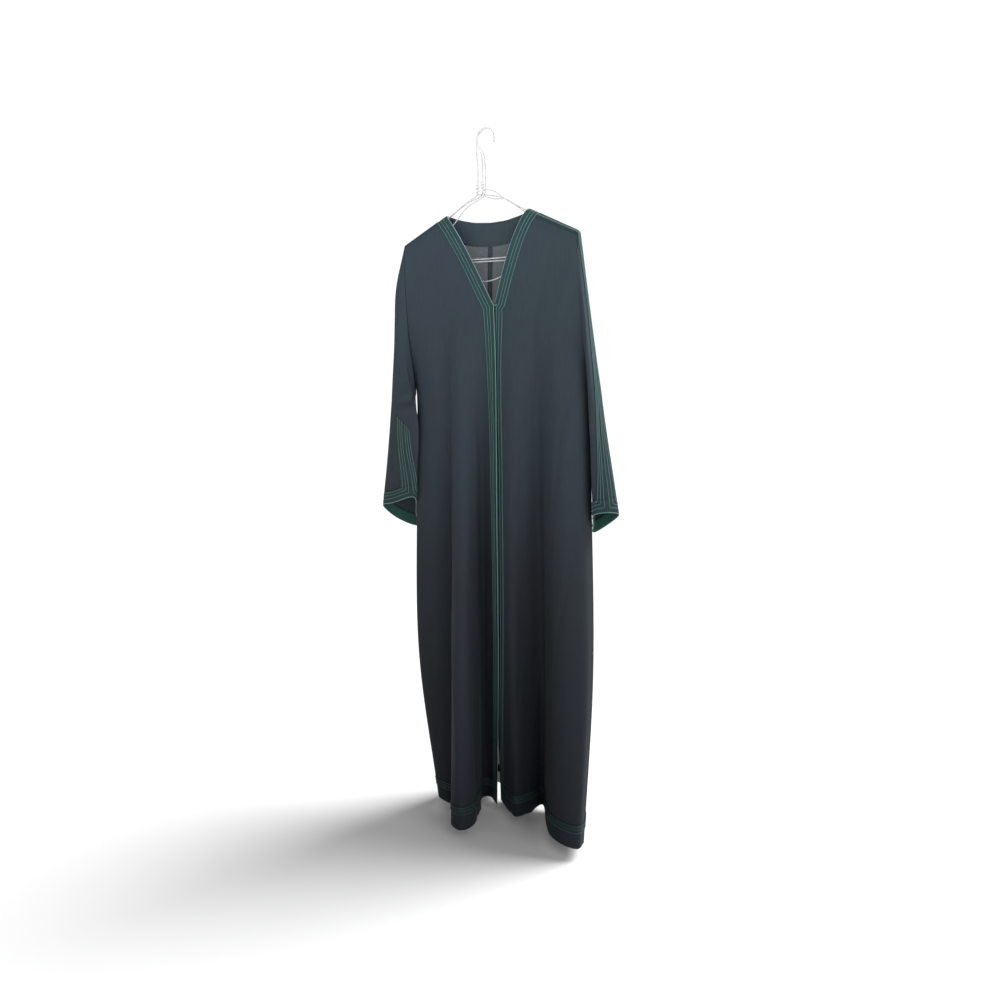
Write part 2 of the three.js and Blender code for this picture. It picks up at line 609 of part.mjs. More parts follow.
const half = SEAM_GAP / 2;
for (const [side, panel] of [["right", frontRight], ["left", frontLeft]]) {
  const last = panel.grid[0].length - 1;
  addPanel(`front_${side}`, cutPiece(panel, bandColumn, last, { backFirst: half }));
  addCloth(`band_${side}`, cutPiece(panel, 0, bandColumn, { backLast: half }), BAND, WALL, {
    rise: BAND_RISE,
  });
}
for (const [side, panel] of [["right", backRight], ["left", backLeft]]) {
  const last = panel.grid[0].length - 1;
  addPanel(`back_${side}`, cutPiece(panel, 0, last, { backFirst: half }));
}
addCloth("neck_facing", neckFacing(), FACING_CLOTH, FACING);

const sleeves = {
  right: sleeveTube(SLEEVE_RIGHT, frontRight, backRight, -1),
  left: sleeveTube(SLEEVE_LEFT, frontLeft, backLeft, 1),
};
for (const [side, tube] of Object.entries(sleeves)) {
  addCloth(`sleeve_${side}_front`, sleeveHalf(tube, true), CLOTH);
  addCloth(`sleeve_${side}_back`, sleeveHalf(tube, false), CLOTH);
  addCloth(`cuff_facing_${side}`, cuffFacing(tube), FACING_CLOTH, FACING, { ring: true });
}
HANGERS.forEach((hanger) => addMesh(hanger.name, hangerWire(hanger), WIRE));

export default garment;
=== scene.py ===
import math

import bmesh
import bpy
import numpy as np
from mathutils import Matrix, Vector
from mathutils.bvhtree import BVHTree


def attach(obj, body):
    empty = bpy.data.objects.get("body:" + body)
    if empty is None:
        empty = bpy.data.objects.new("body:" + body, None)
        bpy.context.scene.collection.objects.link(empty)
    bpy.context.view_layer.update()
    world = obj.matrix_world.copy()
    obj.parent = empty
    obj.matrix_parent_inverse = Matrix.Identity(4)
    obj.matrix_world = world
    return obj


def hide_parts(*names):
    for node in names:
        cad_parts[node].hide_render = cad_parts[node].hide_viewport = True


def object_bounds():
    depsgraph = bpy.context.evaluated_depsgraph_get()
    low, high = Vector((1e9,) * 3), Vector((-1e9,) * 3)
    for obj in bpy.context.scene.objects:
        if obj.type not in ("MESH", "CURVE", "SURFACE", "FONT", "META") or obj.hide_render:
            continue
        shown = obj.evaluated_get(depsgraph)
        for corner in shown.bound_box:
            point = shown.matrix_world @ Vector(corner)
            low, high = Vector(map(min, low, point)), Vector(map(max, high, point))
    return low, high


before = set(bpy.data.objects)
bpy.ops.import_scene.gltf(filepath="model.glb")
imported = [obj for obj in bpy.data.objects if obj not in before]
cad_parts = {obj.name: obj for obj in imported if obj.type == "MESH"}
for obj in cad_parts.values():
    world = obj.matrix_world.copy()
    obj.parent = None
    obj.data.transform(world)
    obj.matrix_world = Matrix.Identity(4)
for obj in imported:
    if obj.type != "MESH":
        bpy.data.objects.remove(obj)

cad_low, cad_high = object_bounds()

# ---- The studio ----
# A white floor two fingers' width under the hem and an even white room. A wide soft light behind
# the garment, on the wearer's left, throws its shadow forward and across the floor.
CAMERA_PLACE = (0.8202, -1.7475, -0.5851)
CAMERA_ROUND = math.radians(24.0)
CAMERA_DOWN = math.radians(6.71)
CAMERA_ROLL = math.radians(0.6)
CAMERA_LENS = 30.6
FLOOR_BELOW_HEM = 0.03
FLOOR_SIZE = 60.0
ROOM_LIGHT = 0.27
ROOM_SEEN = 1.05

camera = bpy.data.objects.new("camera", bpy.data.cameras.new("camera"))
camera.data.lens = CAMERA_LENS
camera.data.sensor_width = 36.0
camera.matrix_world = (
    Matrix.Translation(CAMERA_PLACE)
    @ Matrix.Rotation(CAMERA_ROUND, 4, "Z")
    @ Matrix.Rotation(math.pi / 2 - CAMERA_DOWN, 4, "X")
    @ Matrix.Rotation(CAMERA_ROLL, 4, "Z")
)
bpy.context.collection.objects.link(camera)
bpy.context.scene.camera = camera
bpy.context.scene.view_settings.view_transform = "Standard"


def soft_sun(name, toward, strength, spread):
    """A broad light from far off; toward points from the garment to the light."""
    lamp = bpy.data.objects.new(name, bpy.data.lights.new(name, "SUN"))
    lamp.data.energy = strength
    lamp.data.angle = math.radians(spread)
    lamp.rotation_euler = Vector(toward).to_track_quat("Z", "Y").to_euler()
    bpy.context.collection.objects.link(lamp)


soft_sun("back_light", (0.76, 0.6, 1.25), 3.7, 38)
soft_sun("front_light", (0.95, -0.8, 0.5), 1.15, 60)


def add_node(tree, kind, inputs=None, **settings):
    """A shader node; each of its inputs takes a value or another node's output."""
    made = tree.nodes.new(f"ShaderNode{kind}")
    for name, value in settings.items():
        setattr(made, name, value)
    for name, value in (inputs or {}).items():
        if isinstance(value, bpy.types.NodeSocket):
            tree.links.new(value, made.inputs[name])
        else:
            made.inputs[name].default_value = value
    return made


def new_finish(name, sockets):
    """A material with its shader's sockets set; gives the material, its tree and the shader."""
    material = bpy.data.materials.new(name)
    material.use_nodes = True
    shader = material.node_tree.nodes["Principled BSDF"]
    for socket, value in sockets.items():
        shader.inputs[socket].default_value = value
    return material, material.node_tree, shader


def ranged(tree, value, low, high, to_low=0.0, to_high=1.0):
    """A number moved from one range to another, and held inside it."""
    return add_node(tree, "MapRange", {
        "Value": value, "From Min": low, "From Max": high, "To Min": to_low, "To Max": to_high,
    }).outputs["Result"]


room = bpy.data.worlds.new("white_room")
bpy.context.scene.world = room
room.use_nodes = True
backdrop = room.node_tree.nodes["Background"]
backdrop.inputs["Color"].default_value = (1.0, 1.0, 1.0, 1.0)
seen = add_node(room.node_tree, "LightPath")
brightness = ranged(room.node_tree, seen.outputs["Is Camera Ray"], 0.0, 1.0, ROOM_LIGHT, ROOM_SEEN)
room.node_tree.links.new(brightness, backdrop.inputs["Strength"])

floor_mesh = bmesh.new()
bmesh.ops.create_grid(floor_mesh, x_segments=1, y_segments=1, size=FLOOR_SIZE / 2)
bmesh.ops.translate(floor_mesh, vec=(0, 0, cad_low.z - FLOOR_BELOW_HEM), verts=floor_mesh.verts)
floor = bpy.data.objects.new("floor", bpy.data.meshes.new("floor"))
floor_mesh.to_mesh(floor.data)
floor_mesh.free()
bpy.context.collection.objects.link(floor)
floor_paint, *_ = new_finish("white_floor", {
    "Base Color": (0.9, 0.9, 0.9, 1), "Roughness": 0.9, "Specular IOR Level": 0.1,
})
floor.data.materials.append(floor_paint)

# ---- The wire hangers ----
# Three laundry hangers of white lacquered steel wire hung as one. Each is a single wire, bent
# round a former, whose end is wound on to the shank under the hook.
MM = 0.001
WIRE_RADIUS = 1.25
WIRE_SAMPLES = 420
WIRE_SIDES = 10
HOOK_RADIUS = 21.0
NECK_DROP = 177.0
NECK_POINT = {"right": -95.0, "left": 106.0}
SHOULDER_TIP = {"right": -198.0, "left": 216.0}
TIP_DROP = {"right": 57.0, "left": 53.0}
WIRE_BELOW_SEAM = 5.0
TWIST_TURNS = 2.5
TWIST_RADIUS = 2.7
# name, y, shank x, bar drop, bar sag, shoulder droop, twist top, twist bottom
HANGERS = (
    ("hanger_front", -3, -18, 274, 2, 0, -117, -137),
    ("hanger_middle", 0, -8, 281, 0, 0, -112, -126),
    ("hanger_back", 3, -3, 296, 28, 22, -128, -142),
)


def spline(points, places, closed=False):
    """Points of a smooth curve through the given ones, at places from 0 to 1."""
    points = np.asarray(points, float)
    if closed:
        padded = np.vstack([points[-1], points, points[:2]])
    else:
        padded = np.vstack([2 * points[0] - points[1], points, 2 * points[-1] - points[-2]])
    spans = len(padded) - 3
    at = np.clip(np.asarray(places, float), 0, 1) * spans
    span = np.minimum(at.astype(int), spans - 1)
    t = (at - span)[:, None]
    p0, p1, p2, p3 = (padded[span + k] for k in range(4))
    d0, d1, d2 = (
        np.maximum(np.linalg.norm(b - a, axis=1), 1e-9)[:, None] ** 0.5
        for a, b in ((p0, p1), (p1, p2), (p2, p3))
    )
    leave = ((p1 - p0) / d0 - (p2 - p0) / (d0 + d1) + (p2 - p1) / d1) * d1
    arrive = ((p2 - p1) / d1 - (p3 - p1) / (d1 + d2) + (p3 - p2) / d2) * d1
    bend = 3 * (p2 - p1) - 2 * leave - arrive
    twist = 2 * (p1 - p2) + leave + arrive
    return p1 + leave * t + bend * t**2 + twist * t**3


def unit(vectors):
    return vectors / np.maximum(np.linalg.norm(vectors, axis=-1, keepdims=True), 1e-9)


def travelled(points):
    """The distance run along a line of points, at each of them."""
    steps = np.linalg.norm(np.diff(points, axis=0), axis=1)
    return np.concatenate([[0.0], np.cumsum(steps)])


def new_piece(name, mesh, material, replaced=()):
    data = bpy.data.meshes.new(name)
    mesh.to_mesh(data)
    mesh.free()
    data.shade_smooth()
    data.materials.append(material)
    piece = bpy.data.objects.new(name, data)
    bpy.context.collection.objects.link(piece)
    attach(piece, "root")
    if replaced:
        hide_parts(*replaced)
    return piece


def place_grid(mesh, uv_layer, points, uvs):
    """Lays a flat grid on a table of points in millimetres, one vertex to each."""
    rows, columns = points.shape[0] - 1, points.shape[1] - 1
    made = bmesh.ops.create_grid(mesh, x_segments=columns, y_segments=rows, size=0.5)
    seat = {}
    for vert in made["verts"]:
        seat[vert] = (round((vert.co.y + 0.5) * rows), round((vert.co.x + 0.5) * columns))
    for vert, (row, column) in seat.items():
        vert.co = points[row, column] * MM
    faces = {face for vert in made["verts"] for face in vert.link_faces}
    for face in faces:
        for loop in face.loops:
            row, column = seat[loop.vert]
            loop[uv_layer].uv = uvs[row, column]
    return made["verts"]


def lay_tube(mesh, uv_layer, path, outward, radius, sides, closed=False):
    """A round tube along a path; outward is a direction square to the path at each point."""
    if closed:
        tangent = unit(np.roll(path, -1, axis=0) - np.roll(path, 1, axis=0))
        path, outward, tangent = (np.vstack([a, a[:1]]) for a in (path, outward, tangent))
    else:
        tangent = unit(np.gradient(path, axis=0))
    sideways = unit(np.cross(tangent, outward))
    upward = np.cross(sideways, tangent)
    angles = np.linspace(0, 2 * math.pi, sides + 1)
    cos, sin = (wave(angles)[None, :, None] for wave in (np.cos, np.sin))
    ring = cos * upward[:, None] + sin * sideways[:, None]
    run = travelled(path) * MM
    uvs = np.stack(np.broadcast_arrays(np.linspace(0, 1, sides + 1)[None, :], run[:, None]), axis=-1)
    place_grid(mesh, uv_layer, path[:, None] + radius * ring, uvs)


def close_tubes(mesh):
    bmesh.ops.remove_doubles(mesh, verts=mesh.verts, dist=1e-6)
    open_edges = [edge for edge in mesh.edges if edge.is_boundary]
    bmesh.ops.holes_fill(mesh, edges=open_edges, sides=WIRE_SIDES)
    bmesh.ops.recalc_face_normals(mesh, faces=mesh.faces)


def under_seam(x):
    side = "right" if x < 0 else "left"
    share = (x - NECK_POINT[side]) / (SHOULDER_TIP[side] - NECK_POINT[side])
    return -NECK_DROP - TIP_DROP[side] * share - WIRE_BELOW_SEAM


def bend_wire(y, shank, bar, sag, droop, twist_top, twist_bottom):
    hook_angles = np.radians([-25, 20, 65, 110, 155, 195])
    hook_centre = WIRE_RADIUS - HOOK_RADIUS
    hook = [(HOOK_RADIUS * math.cos(a), hook_centre + HOOK_RADIUS * math.sin(a)) for a in hook_angles]
    neck = [(shank - 3, -52), (shank, -75), (shank + 1, -110), (shank - 1, -138)]
    right_shoulder = [
        (-46, -154 - droop / 3), (-88, under_seam(-92) - droop), (-120, under_seam(-120) - droop),
        (-178 + droop / 2, under_seam(-178) - droop),
    ]
    right_corner = [(-193 + droop / 2, -242 - droop), (-192 + droop / 2, -255 - droop / 2)]
    bottom_bar = [(-176, -bar + 2), (-90, -bar), (0, -bar - sag), (90, -bar), (182, -bar + 2)]
    left_corner = [(206, -252), (207, -238)]
    left_shoulder = [
        (192, under_seam(192) - droop / 15), (125, under_seam(125) - droop / 8), (95, -177.5 - droop / 5),
        (47, -151),
    ]
    flat = hook + neck + right_shoulder + right_corner + bottom_bar + left_corner + left_shoulder
    path = [(x, y, z) for x, z in flat + [(20, twist_bottom - 6)]]
    for k in range(int(8 * TWIST_TURNS) + 1):
        share = k / (8 * TWIST_TURNS)
        angle = 2 * math.pi * TWIST_TURNS * share
        z = twist_bottom + (twist_top - twist_bottom) * share
        path.append((shank + TWIST_RADIUS * math.cos(angle), y - TWIST_RADIUS * math.sin(angle), z))
    return np.array(path, float)


def add_ramp(tree, factor, *stops):
    """A colour ramp; each stop is a place on it and a colour."""
    ramp = add_node(tree, "ValToRGB", {"Fac": factor})
    ends = ramp.color_ramp.elements
    ends[0].position, ends[1].position = stops[0][0], stops[-1][0]
    ends[0].color, ends[1].color = (*stops[0][1], 1), (*stops[-1][1], 1)
    for place, colour in stops[1:-1]:
        ends.new(place).color = (*colour, 1)
    return ramp.outputs["Color"]


lacquer, lacquer_tree, lacquer_shader = new_finish("white_lacquer", {"Roughness": 0.35, "Coat Weight": 0.3})
lacquer_place = add_node(lacquer_tree, "TexCoord")
chips = add_node(lacquer_tree, "TexNoise", {"Scale": 90.0, "Vector": lacquer_place.outputs["Object"]})
lacquer_tone = add_ramp(
    lacquer_tree, chips.outputs["Fac"], (0.3, (0.58, 0.55, 0.53)), (0.5, (0.80, 0.79, 0.82))
)
lacquer_tree.links.new(lacquer_tone, lacquer_shader.inputs["Base Color"])

for name, *bends in HANGERS:
    wire = bmesh.new()
    wire_uv = wire.loops.layers.uv.new("UVMap")
    wire_path = spline(bend_wire(*bends), np.linspace(0, 1, WIRE_SAMPLES))
    across = np.tile([0.0, 1.0, 0.0], (WIRE_SAMPLES, 1))
    lay_tube(wire, wire_uv, wire_path, across, WIRE_RADIUS, WIRE_SIDES)
    close_tubes(wire)
    new_piece(f"{name}_wire", wire, lacquer, [name])

# ---- The back ----
# Two halves of black-slate crepe, sewn down the middle. They hang from the shoulders in deep
# soft flutes that open towards the hem.
CLOTH_THICKNESS = 0.8
SEAM_HALF_GAP = 0.15
V_BOTTOM = {"x": 28.0, "drop": 202.0}
NECK_BOW = {"right": 7.0, "left": -12.0}
BACK_NECK_DROP = 19.0
CENTRE_BACK_X = 7.0
LENGTH = 1407.0
# level, drop at the neck, drop at the arm, rows of the mesh down to it
LEVELS = (
    ("seam", 0, 0, 0),
    ("ridge", 3, 2.5, 2),
    ("yoke", 17, 16, 4),
    ("chest", 110, 150, 16),
    ("bust", 202, 265, 16),
    ("armpit", 350, 397, 22),
    ("hip", 627, 630, 36),
    ("knee", 1017, 1017, 50),
    ("hem", LENGTH, LENGTH, 54),
)
BACK_NECK_HEIGHTS = (0, 4.3, 14.2, BACK_NECK_DROP)
YOKE_LEVEL = 2
CHEST_LEVEL = 3
BUST_LEVEL = 4
ARMPIT_LEVEL = 5
# half depth over the shoulders, and the x of the armhole, at the first four levels
YOKE_DEPTH = (0, 7.5, 10.5, 12.5)
ARMHOLE_X = {"right": (-198, -198.5, -199.5, -196), "left": (216, 216.4, 217, 222)}
# fold, then [x, y] at bust, armpit, hip, knee and hem
BACK_RIGHT_FOLDS = (
    ("centre back", (7, 13), (6, 16), (4, 24), (-5, 88), (-14, 170)),
    ("crest", (-50, 14), (-48, 24), (-46, 48), (-45, 112), (-45, 205)),
    ("trough", (-90, 12), (-90, 14), (-92, 24), (-95, 78), (-92, 166)),
    ("outer crest", (-130, 14), (-130, 20), (-135, 44), (-140, 104), (-130, 188)),
    ("turn", (-168, 11), (-168, 13), (-174, 24), (-185, 62), (-162, 125)),
    ("side", (-189, 8), (-175, 4), (-178, 8), (-184, 35), (-156, 88)),
)
BACK_LEFT_FOLDS = (
    ("centre back", (7, 13), (6, 16), (4, 24), (-5, 88), (-14, 170)),
    ("crest", (60, 14), (58, 24), (55, 46), (50, 115), (45, 206)),
    ("trough", (105, 12), (105, 16), (108, 32), (108, 104), (104, 172)),
    ("outer crest", (155, 14), (160, 24), (166, 48), (172, 102), (165, 200)),
    ("hollow", (195, 12), (208, 18), (218, 32), (226, 66), (212, 115)),
    ("turn", (218, 10), (240, 13), (250, 22), (260, 34), (243, 50)),
    ("side", (232, 8), (247, 4), (257, 6), (268, 8), (257, 6)),
)
# Creases: distance from the first edge and from the shoulder at each end, width, depth.
BACK_RIGHT_CREASES = (
    (30, 60, 44, 620, 9, 1.6),
    (74, 240, 70, 1180, 8, -1.8),
    (104, 120, 128, 560, 11, 2.2),
    (150, 330, 140, 980, 9, -1.8),
    (176, 380, 120, 560, 12, 2.4),
    (60, 700, 66, 1400, 12, 2.6),
    (128, 820, 150, 1400, 14, -2.8),
    (20, 900, 24, 1400, 9, -1.6),
    (196, 900, 214, 1400, 12, 2.4),
)
BACK_LEFT_CREASES = (
    (24, 90, 34, 560, 9, -1.5),
    (66, 200, 78, 900, 9, 1.9),
    (112, 100, 126, 480, 11, -2.0),
    (150, 320, 160, 1100, 10, 2.2),
    (206, 380, 150, 540, 12, -2.4),
    (40, 640, 46, 1400, 12, -2.4),
    (96, 780, 110, 1400, 13, 2.8),
    (190, 760, 220, 1400, 12, -2.6),
    (236, 520, 262, 1300, 10, 2.0),
)


def row_steps(counts):
    steps = [0.0]
    spans = len(counts) - 1
    for span, count in enumerate(counts[1:]):
        steps += [(span + k / count) / spans for k in range(1, count + 1)]
    return np.array(steps)


PANEL_STEPS = row_steps([rows for *_, rows in LEVELS])


def level_row(level):
    return sum(rows for *_, rows in LEVELS[: level + 1])


def mix(a, b, share):
    return a + (b - a) * share


# A crease that ends this near to the hem runs on to it.
HEM_REACH = 10.0


def crease_depth(arcs, drops, creases):
    """How far each point stands out or lies in, for the listed soft ridges and troughs."""
    depth = np.zeros_like(arcs)
    for arc_a, drop_a, arc_b, drop_b, width, height in creases:
        line = np.array([arc_b - arc_a, drop_b - drop_a], float)
        length = np.linalg.norm(line)
        along = ((arcs - arc_a) * line[0] + (drops - drop_a) * line[1]) / length**2
        aside = ((arcs - arc_a) * line[1] - (drops - drop_a) * line[0]) / length
        wander = aside + 0.35 * width * np.sin(7.0 * along + drop_a)
        inside = np.clip(along, 0, 1)
        reach = np.sin(math.pi * inside) ** 0.8 * (0.8 + 0.2 * np.sin(11.0 * along + arc_a))
        if drop_b >= LENGTH - HEM_REACH:
            reach = np.where(along > 1, 1.0, reach)
            reach = np.where(along > 0.5, np.maximum(reach, 0.9), reach)
        depth += height * reach * np.exp(-((wander / width) ** 2))
    return depth


def find_normals(points, toward):
    down = np.gradient(points, axis=0)
    over = np.gradient(points, axis=1)
    normals = unit(np.cross(over, down))
    return normals if (normals.sum(axis=(0, 1)) @ np.array(toward)) > 0 else -normals


def neck_edge(is_back, side, drops):
    """A slightly bowed line down each front to the V's foot, an even curve round the back neck."""
    if is_back:
        share = np.clip(drops / BACK_NECK_DROP, 0, 1)
        return mix(NECK_POINT[side], CENTRE_BACK_X, 1 - np.sqrt(1 - share))
    share = np.clip(drops / V_BOTTOM["drop"], 0, 1)
    return mix(NECK_POINT[side], V_BOTTOM["x"], share) + NECK_BOW[side] * np.sin(math.pi * share**0.6)


def edge_curve(places, turn_level, is_back, side):
    """A panel's free edge keeps to the neck line down to the turn, and starts afresh below it."""
    turn = turn_level / (len(places) - 1)
    above = PANEL_STEPS < turn
    curve = spline(places, PANEL_STEPS)
    curve[above, 0] = neck_edge(is_back, side, -NECK_DROP - curve[above, 2])
    curve[~above] = spline(places[turn_level:], (PANEL_STEPS[~above] - turn) / (1 - turn))
    return curve


def runs_down(points):
    """The distance run down each column of a table of points."""
    return np.array([travelled(points[:, c]) for c in range(points.shape[1])]).T


FINE_POINTS = 500
# Creases fade out towards a panel's edges, over these distances.
EASE_FROM_EDGE = 12.0
EASE_FROM_SIDE = 14.0
EASE_FROM_SHOULDER = 40.0


def hang_panel(folds, creases, side, is_back, columns):
    """Points of a panel, from its neck or front edge to the armhole and side seam."""
    faces = 1 if is_back else -1
    edge_x, side_x = folds[0][1][0], folds[-1][1][0]
    curves = []
    for _, *places in folds:
        share = (places[0][0] - edge_x) / (side_x - edge_x)
        curve = []
        for level, (_, neck, arm, _) in enumerate(LEVELS):
            if is_back and level < len(BACK_NECK_HEIGHTS):
                neck = BACK_NECK_HEIGHTS[level]
            arm_drop = arm + (TIP_DROP[side] if level <= YOKE_LEVEL else 0)
            drop = mix(neck, arm_drop, share)
            if level <= CHEST_LEVEL:
                x = mix(neck_edge(is_back, side, neck), ARMHOLE_X[side][level], share)
                y = faces * YOKE_DEPTH[level]
            else:
                x, y = places[level - CHEST_LEVEL - 1]
            curve.append((x, y, -NECK_DROP - drop))
        if share == 0:
            curves.append(edge_curve(curve, CHEST_LEVEL if is_back else BUST_LEVEL, is_back, side))
        else:
            curves.append(spline(curve, PANEL_STEPS))
    curves = np.array(curves)
    points, arcs = [], []
    for row in range(len(PANEL_STEPS)):
        fine = spline(curves[:, row], np.linspace(0, 1, FINE_POINTS))
        run = travelled(fine)
        arc = np.linspace(0, run[-1], columns + 1)
        points.append(np.stack([np.interp(arc, run, fine[:, k]) for k in range(3)], axis=1))
        arcs.append(arc)
    points, arcs = np.array(points), np.array(arcs)
    points[0, :, 1] = faces * SEAM_HALF_GAP
    drops = -NECK_DROP - points[:, :, 2]
    normals = find_normals(points, (0, faces, 0))
    edge_ease = np.clip(arcs / EASE_FROM_EDGE, 0, 1)
    side_ease = np.clip((arcs[:, -1:] - arcs) / EASE_FROM_SIDE, 0, 1)
    top_ease = np.clip((drops - drops[:1]) / EASE_FROM_SHOULDER, 0, 1)
    depth = crease_depth(arcs, drops, creases) * (edge_ease * side_ease) * top_ease
    points = points + normals * depth[..., None]
    foot = V_BOTTOM["x"] if not is_back else CENTRE_BACK_X
    weft = arcs + np.abs(points[:, :1, 0] - foot) * (drops[:, :1] < V_BOTTOM["drop"])
    return {
        "points": points, "normals": find_normals(points, (0, faces, 0)),
        "arcs": arcs, "fallen": runs_down(points), "weft": weft,
    }


def sew_side(front, back):
    """From the armpit down a front and a back panel meet in one side seam."""
    for row in range(level_row(ARMPIT_LEVEL), len(PANEL_STEPS)):
        shared = (front["points"][row, -1] + back["points"][row, -1]) / 2
        front["points"][row, -1] = shared - (0, SEAM_HALF_GAP, 0)
        back["points"][row, -1] = shared + (0, SEAM_HALF_GAP, 0)


def cloth_piece(name, panel, material, replaced=(), thickness=CLOTH_THICKNESS, ring=False):
    mesh = bmesh.new()
    uv_layer = mesh.loops.layers.uv.new("UVMap")
    uvs = np.stack([panel.get("weft", panel["arcs"]), panel["fallen"]], axis=-1) * MM
    place_grid(mesh, uv_layer, panel["points"], uvs)
    if ring:
        bmesh.ops.remove_doubles(mesh, verts=mesh.verts, dist=1e-6)
    mesh.normal_update()
    rows, columns = (size // 2 for size in panel["points"].shape[:2])
    centre = Vector(panel["points"][rows, columns]) * MM
    nearest = min(mesh.faces, key=lambda face: (face.calc_center_median() - centre).length_squared)
    if nearest.normal.dot(Vector(panel["normals"][rows, columns])) < 0:
        bmesh.ops.reverse_faces(mesh, faces=mesh.faces)
    piece = new_piece(name, mesh, material, replaced)
    shell = piece.modifiers.new("cloth_thickness", "SOLIDIFY")
    shell.thickness = thickness * MM
    shell.offset = 0.0
    return piece


# Painted shade: cloth and cord colours darken from FADE_TOP down to the hem, with a middle stop at
# FADE_MIDDLE.
FADE_TOP = -0.25
FADE_MIDDLE = 0.45
# Painted shade in the fronts' fold hollows and a painted highlight on their crests, set by the cloth's y.
SHADE_IN_HOLLOWS = 0.78
LIGHT_ON_CRESTS = 1.16


def painted_shade_to_hem(tree, height, high, low, middle=None):
    """Painted shade: a colour that darkens from the shoulders to the hem, with a stop of its own between."""
    stops = [(0.0, low)] + ([(FADE_MIDDLE, middle)] if middle else []) + [(1.0, high)]
    return add_ramp(tree, ranged(tree, height, cad_low.z, FADE_TOP), *stops)


def scaled(tree, colour, tone):
    """A colour made darker or lighter by a number that changes over the surface."""
    return add_node(tree, "VectorMath", {0: colour, "Scale": tone}, operation="SCALE").outputs["Vector"]


def cloth_finish(name, high, low, middle=None, sheen=0.04, alpha=1.0, rough=0.8, streak=0.06, depth=None):
    """A woven cloth with crinkled threads, streaks and uneven dye, with painted shade darkening it towards
    the hem.

    Where depth gives two values of y, painted shade darkens fold hollows at the first and a painted highlight
    lightens crests at the second.
    """
    material, tree, shader = new_finish(name, {
        "Roughness": rough, "Specular IOR Level": 0.12, "Sheen Weight": sheen, "Sheen Roughness": 0.45,
        "Sheen Tint": (0.72, 0.86, 0.95, 1), "Alpha": alpha,
    })
    place = add_node(tree, "TexCoord")
    split = add_node(tree, "SeparateXYZ", {"Vector": place.outputs["Object"]})
    # painted shade: the colour darkens from the shoulders to the hem
    fade = painted_shade_to_hem(tree, split.outputs["Z"], high, low, middle)
    clouds = add_node(tree, "TexNoise", {"Scale": 5.0, "Detail": 3.0, "Vector": place.outputs["Object"]})
    hues = add_ramp(tree, clouds.outputs["Fac"], (0.35, (0.96, 1.03, 1.0)), (0.65, (1.0, 0.985, 1.05)))
    dye = add_node(tree, "Mix", data_type="RGBA", blend_type="MULTIPLY")
    dye.inputs["Factor"].default_value = 1.0
    tree.links.new(fade, dye.inputs["A"])
    tree.links.new(hues, dye.inputs["B"])
    streak_place = add_node(tree, "Mapping", {"Scale": (420.0, 26.0, 1.0), "Vector": place.outputs["UV"]})
    streaks = add_node(tree, "TexNoise", {
        "Scale": 1.0, "Detail": 2.0, "Vector": streak_place.outputs["Vector"],
    })
    streak_tone = ranged(tree, streaks.outputs["Fac"], 0.3, 0.7, 1 - streak, 1 + streak)
    colour = scaled(tree, dye.outputs["Result"], streak_tone)
    # painted shade in the fold hollows and painted highlight on the crests, from the object's y
    if depth:
        colour = scaled(tree, colour, ranged(tree, split.outputs["Y"], *depth, SHADE_IN_HOLLOWS, LIGHT_ON_CRESTS))
    tree.links.new(colour, shader.inputs["Base Color"])
    threads_place = add_node(tree, "Mapping", {"Scale": (1500.0, 1500.0, 1.0), "Vector": place.outputs["UV"]})
    threads = add_node(tree, "TexVoronoi", {"Scale": 1.0, "Vector": threads_place.outputs["Vector"]})
    crinkle = add_node(tree, "TexNoise", {
        "Scale": 0.45, "Detail": 4.0, "Vector": threads_place.outputs["Vector"],
    })
    relief = add_node(tree, "Math", {
        0: threads.outputs["Distance"], 1: crinkle.outputs["Fac"],
    }, operation="ADD")
    bump = add_node(tree, "Bump", {
        "Strength": 0.35, "Distance": 0.00025, "Height": relief.outputs["Value"],
    })
    tree.links.new(bump.outputs["Normal"], shader.inputs["Normal"])
    return material


# Crepe colour at the shoulders, halfway and at the hem; the darkening down to the hem is painted shade.
CREPE_HIGH = (0.054, 0.073, 0.090)
CREPE_MIDDLE = (0.024, 0.028, 0.034)
CREPE_LOW = (0.0115, 0.0135, 0.0185)
# The fronts' crepe, with painted shade in the fold hollows and a painted highlight on the crests.
front_crepe = cloth_finish("front_crepe", CREPE_HIGH, CREPE_LOW, CREPE_MIDDLE, depth=(0.012, -0.038))
crepe = cloth_finish("slate_crepe", CREPE_HIGH, CREPE_LOW, CREPE_MIDDLE)
sheer_crepe = cloth_finish(
    "sheer_crepe", (0.074, 0.096, 0.112), CREPE_LOW, CREPE_MIDDLE, alpha=0.75, streak=0.14
)

BACK_COLUMNS = 110
back_right = hang_panel(BACK_RIGHT_FOLDS, BACK_RIGHT_CREASES, "right", True, BACK_COLUMNS)
back_left = hang_panel(BACK_LEFT_FOLDS, BACK_LEFT_CREASES, "left", True, BACK_COLUMNS)
for row in range(level_row(CHEST_LEVEL), len(PANEL_STEPS)):
    shared = (back_right["points"][row, 0] + back_left["points"][row, 0]) / 2
    back_right["points"][row, 0] = shared - (SEAM_HALF_GAP, 0, 0)
    back_left["points"][row, 0] = shared + (SEAM_HALF_GAP, 0, 0)

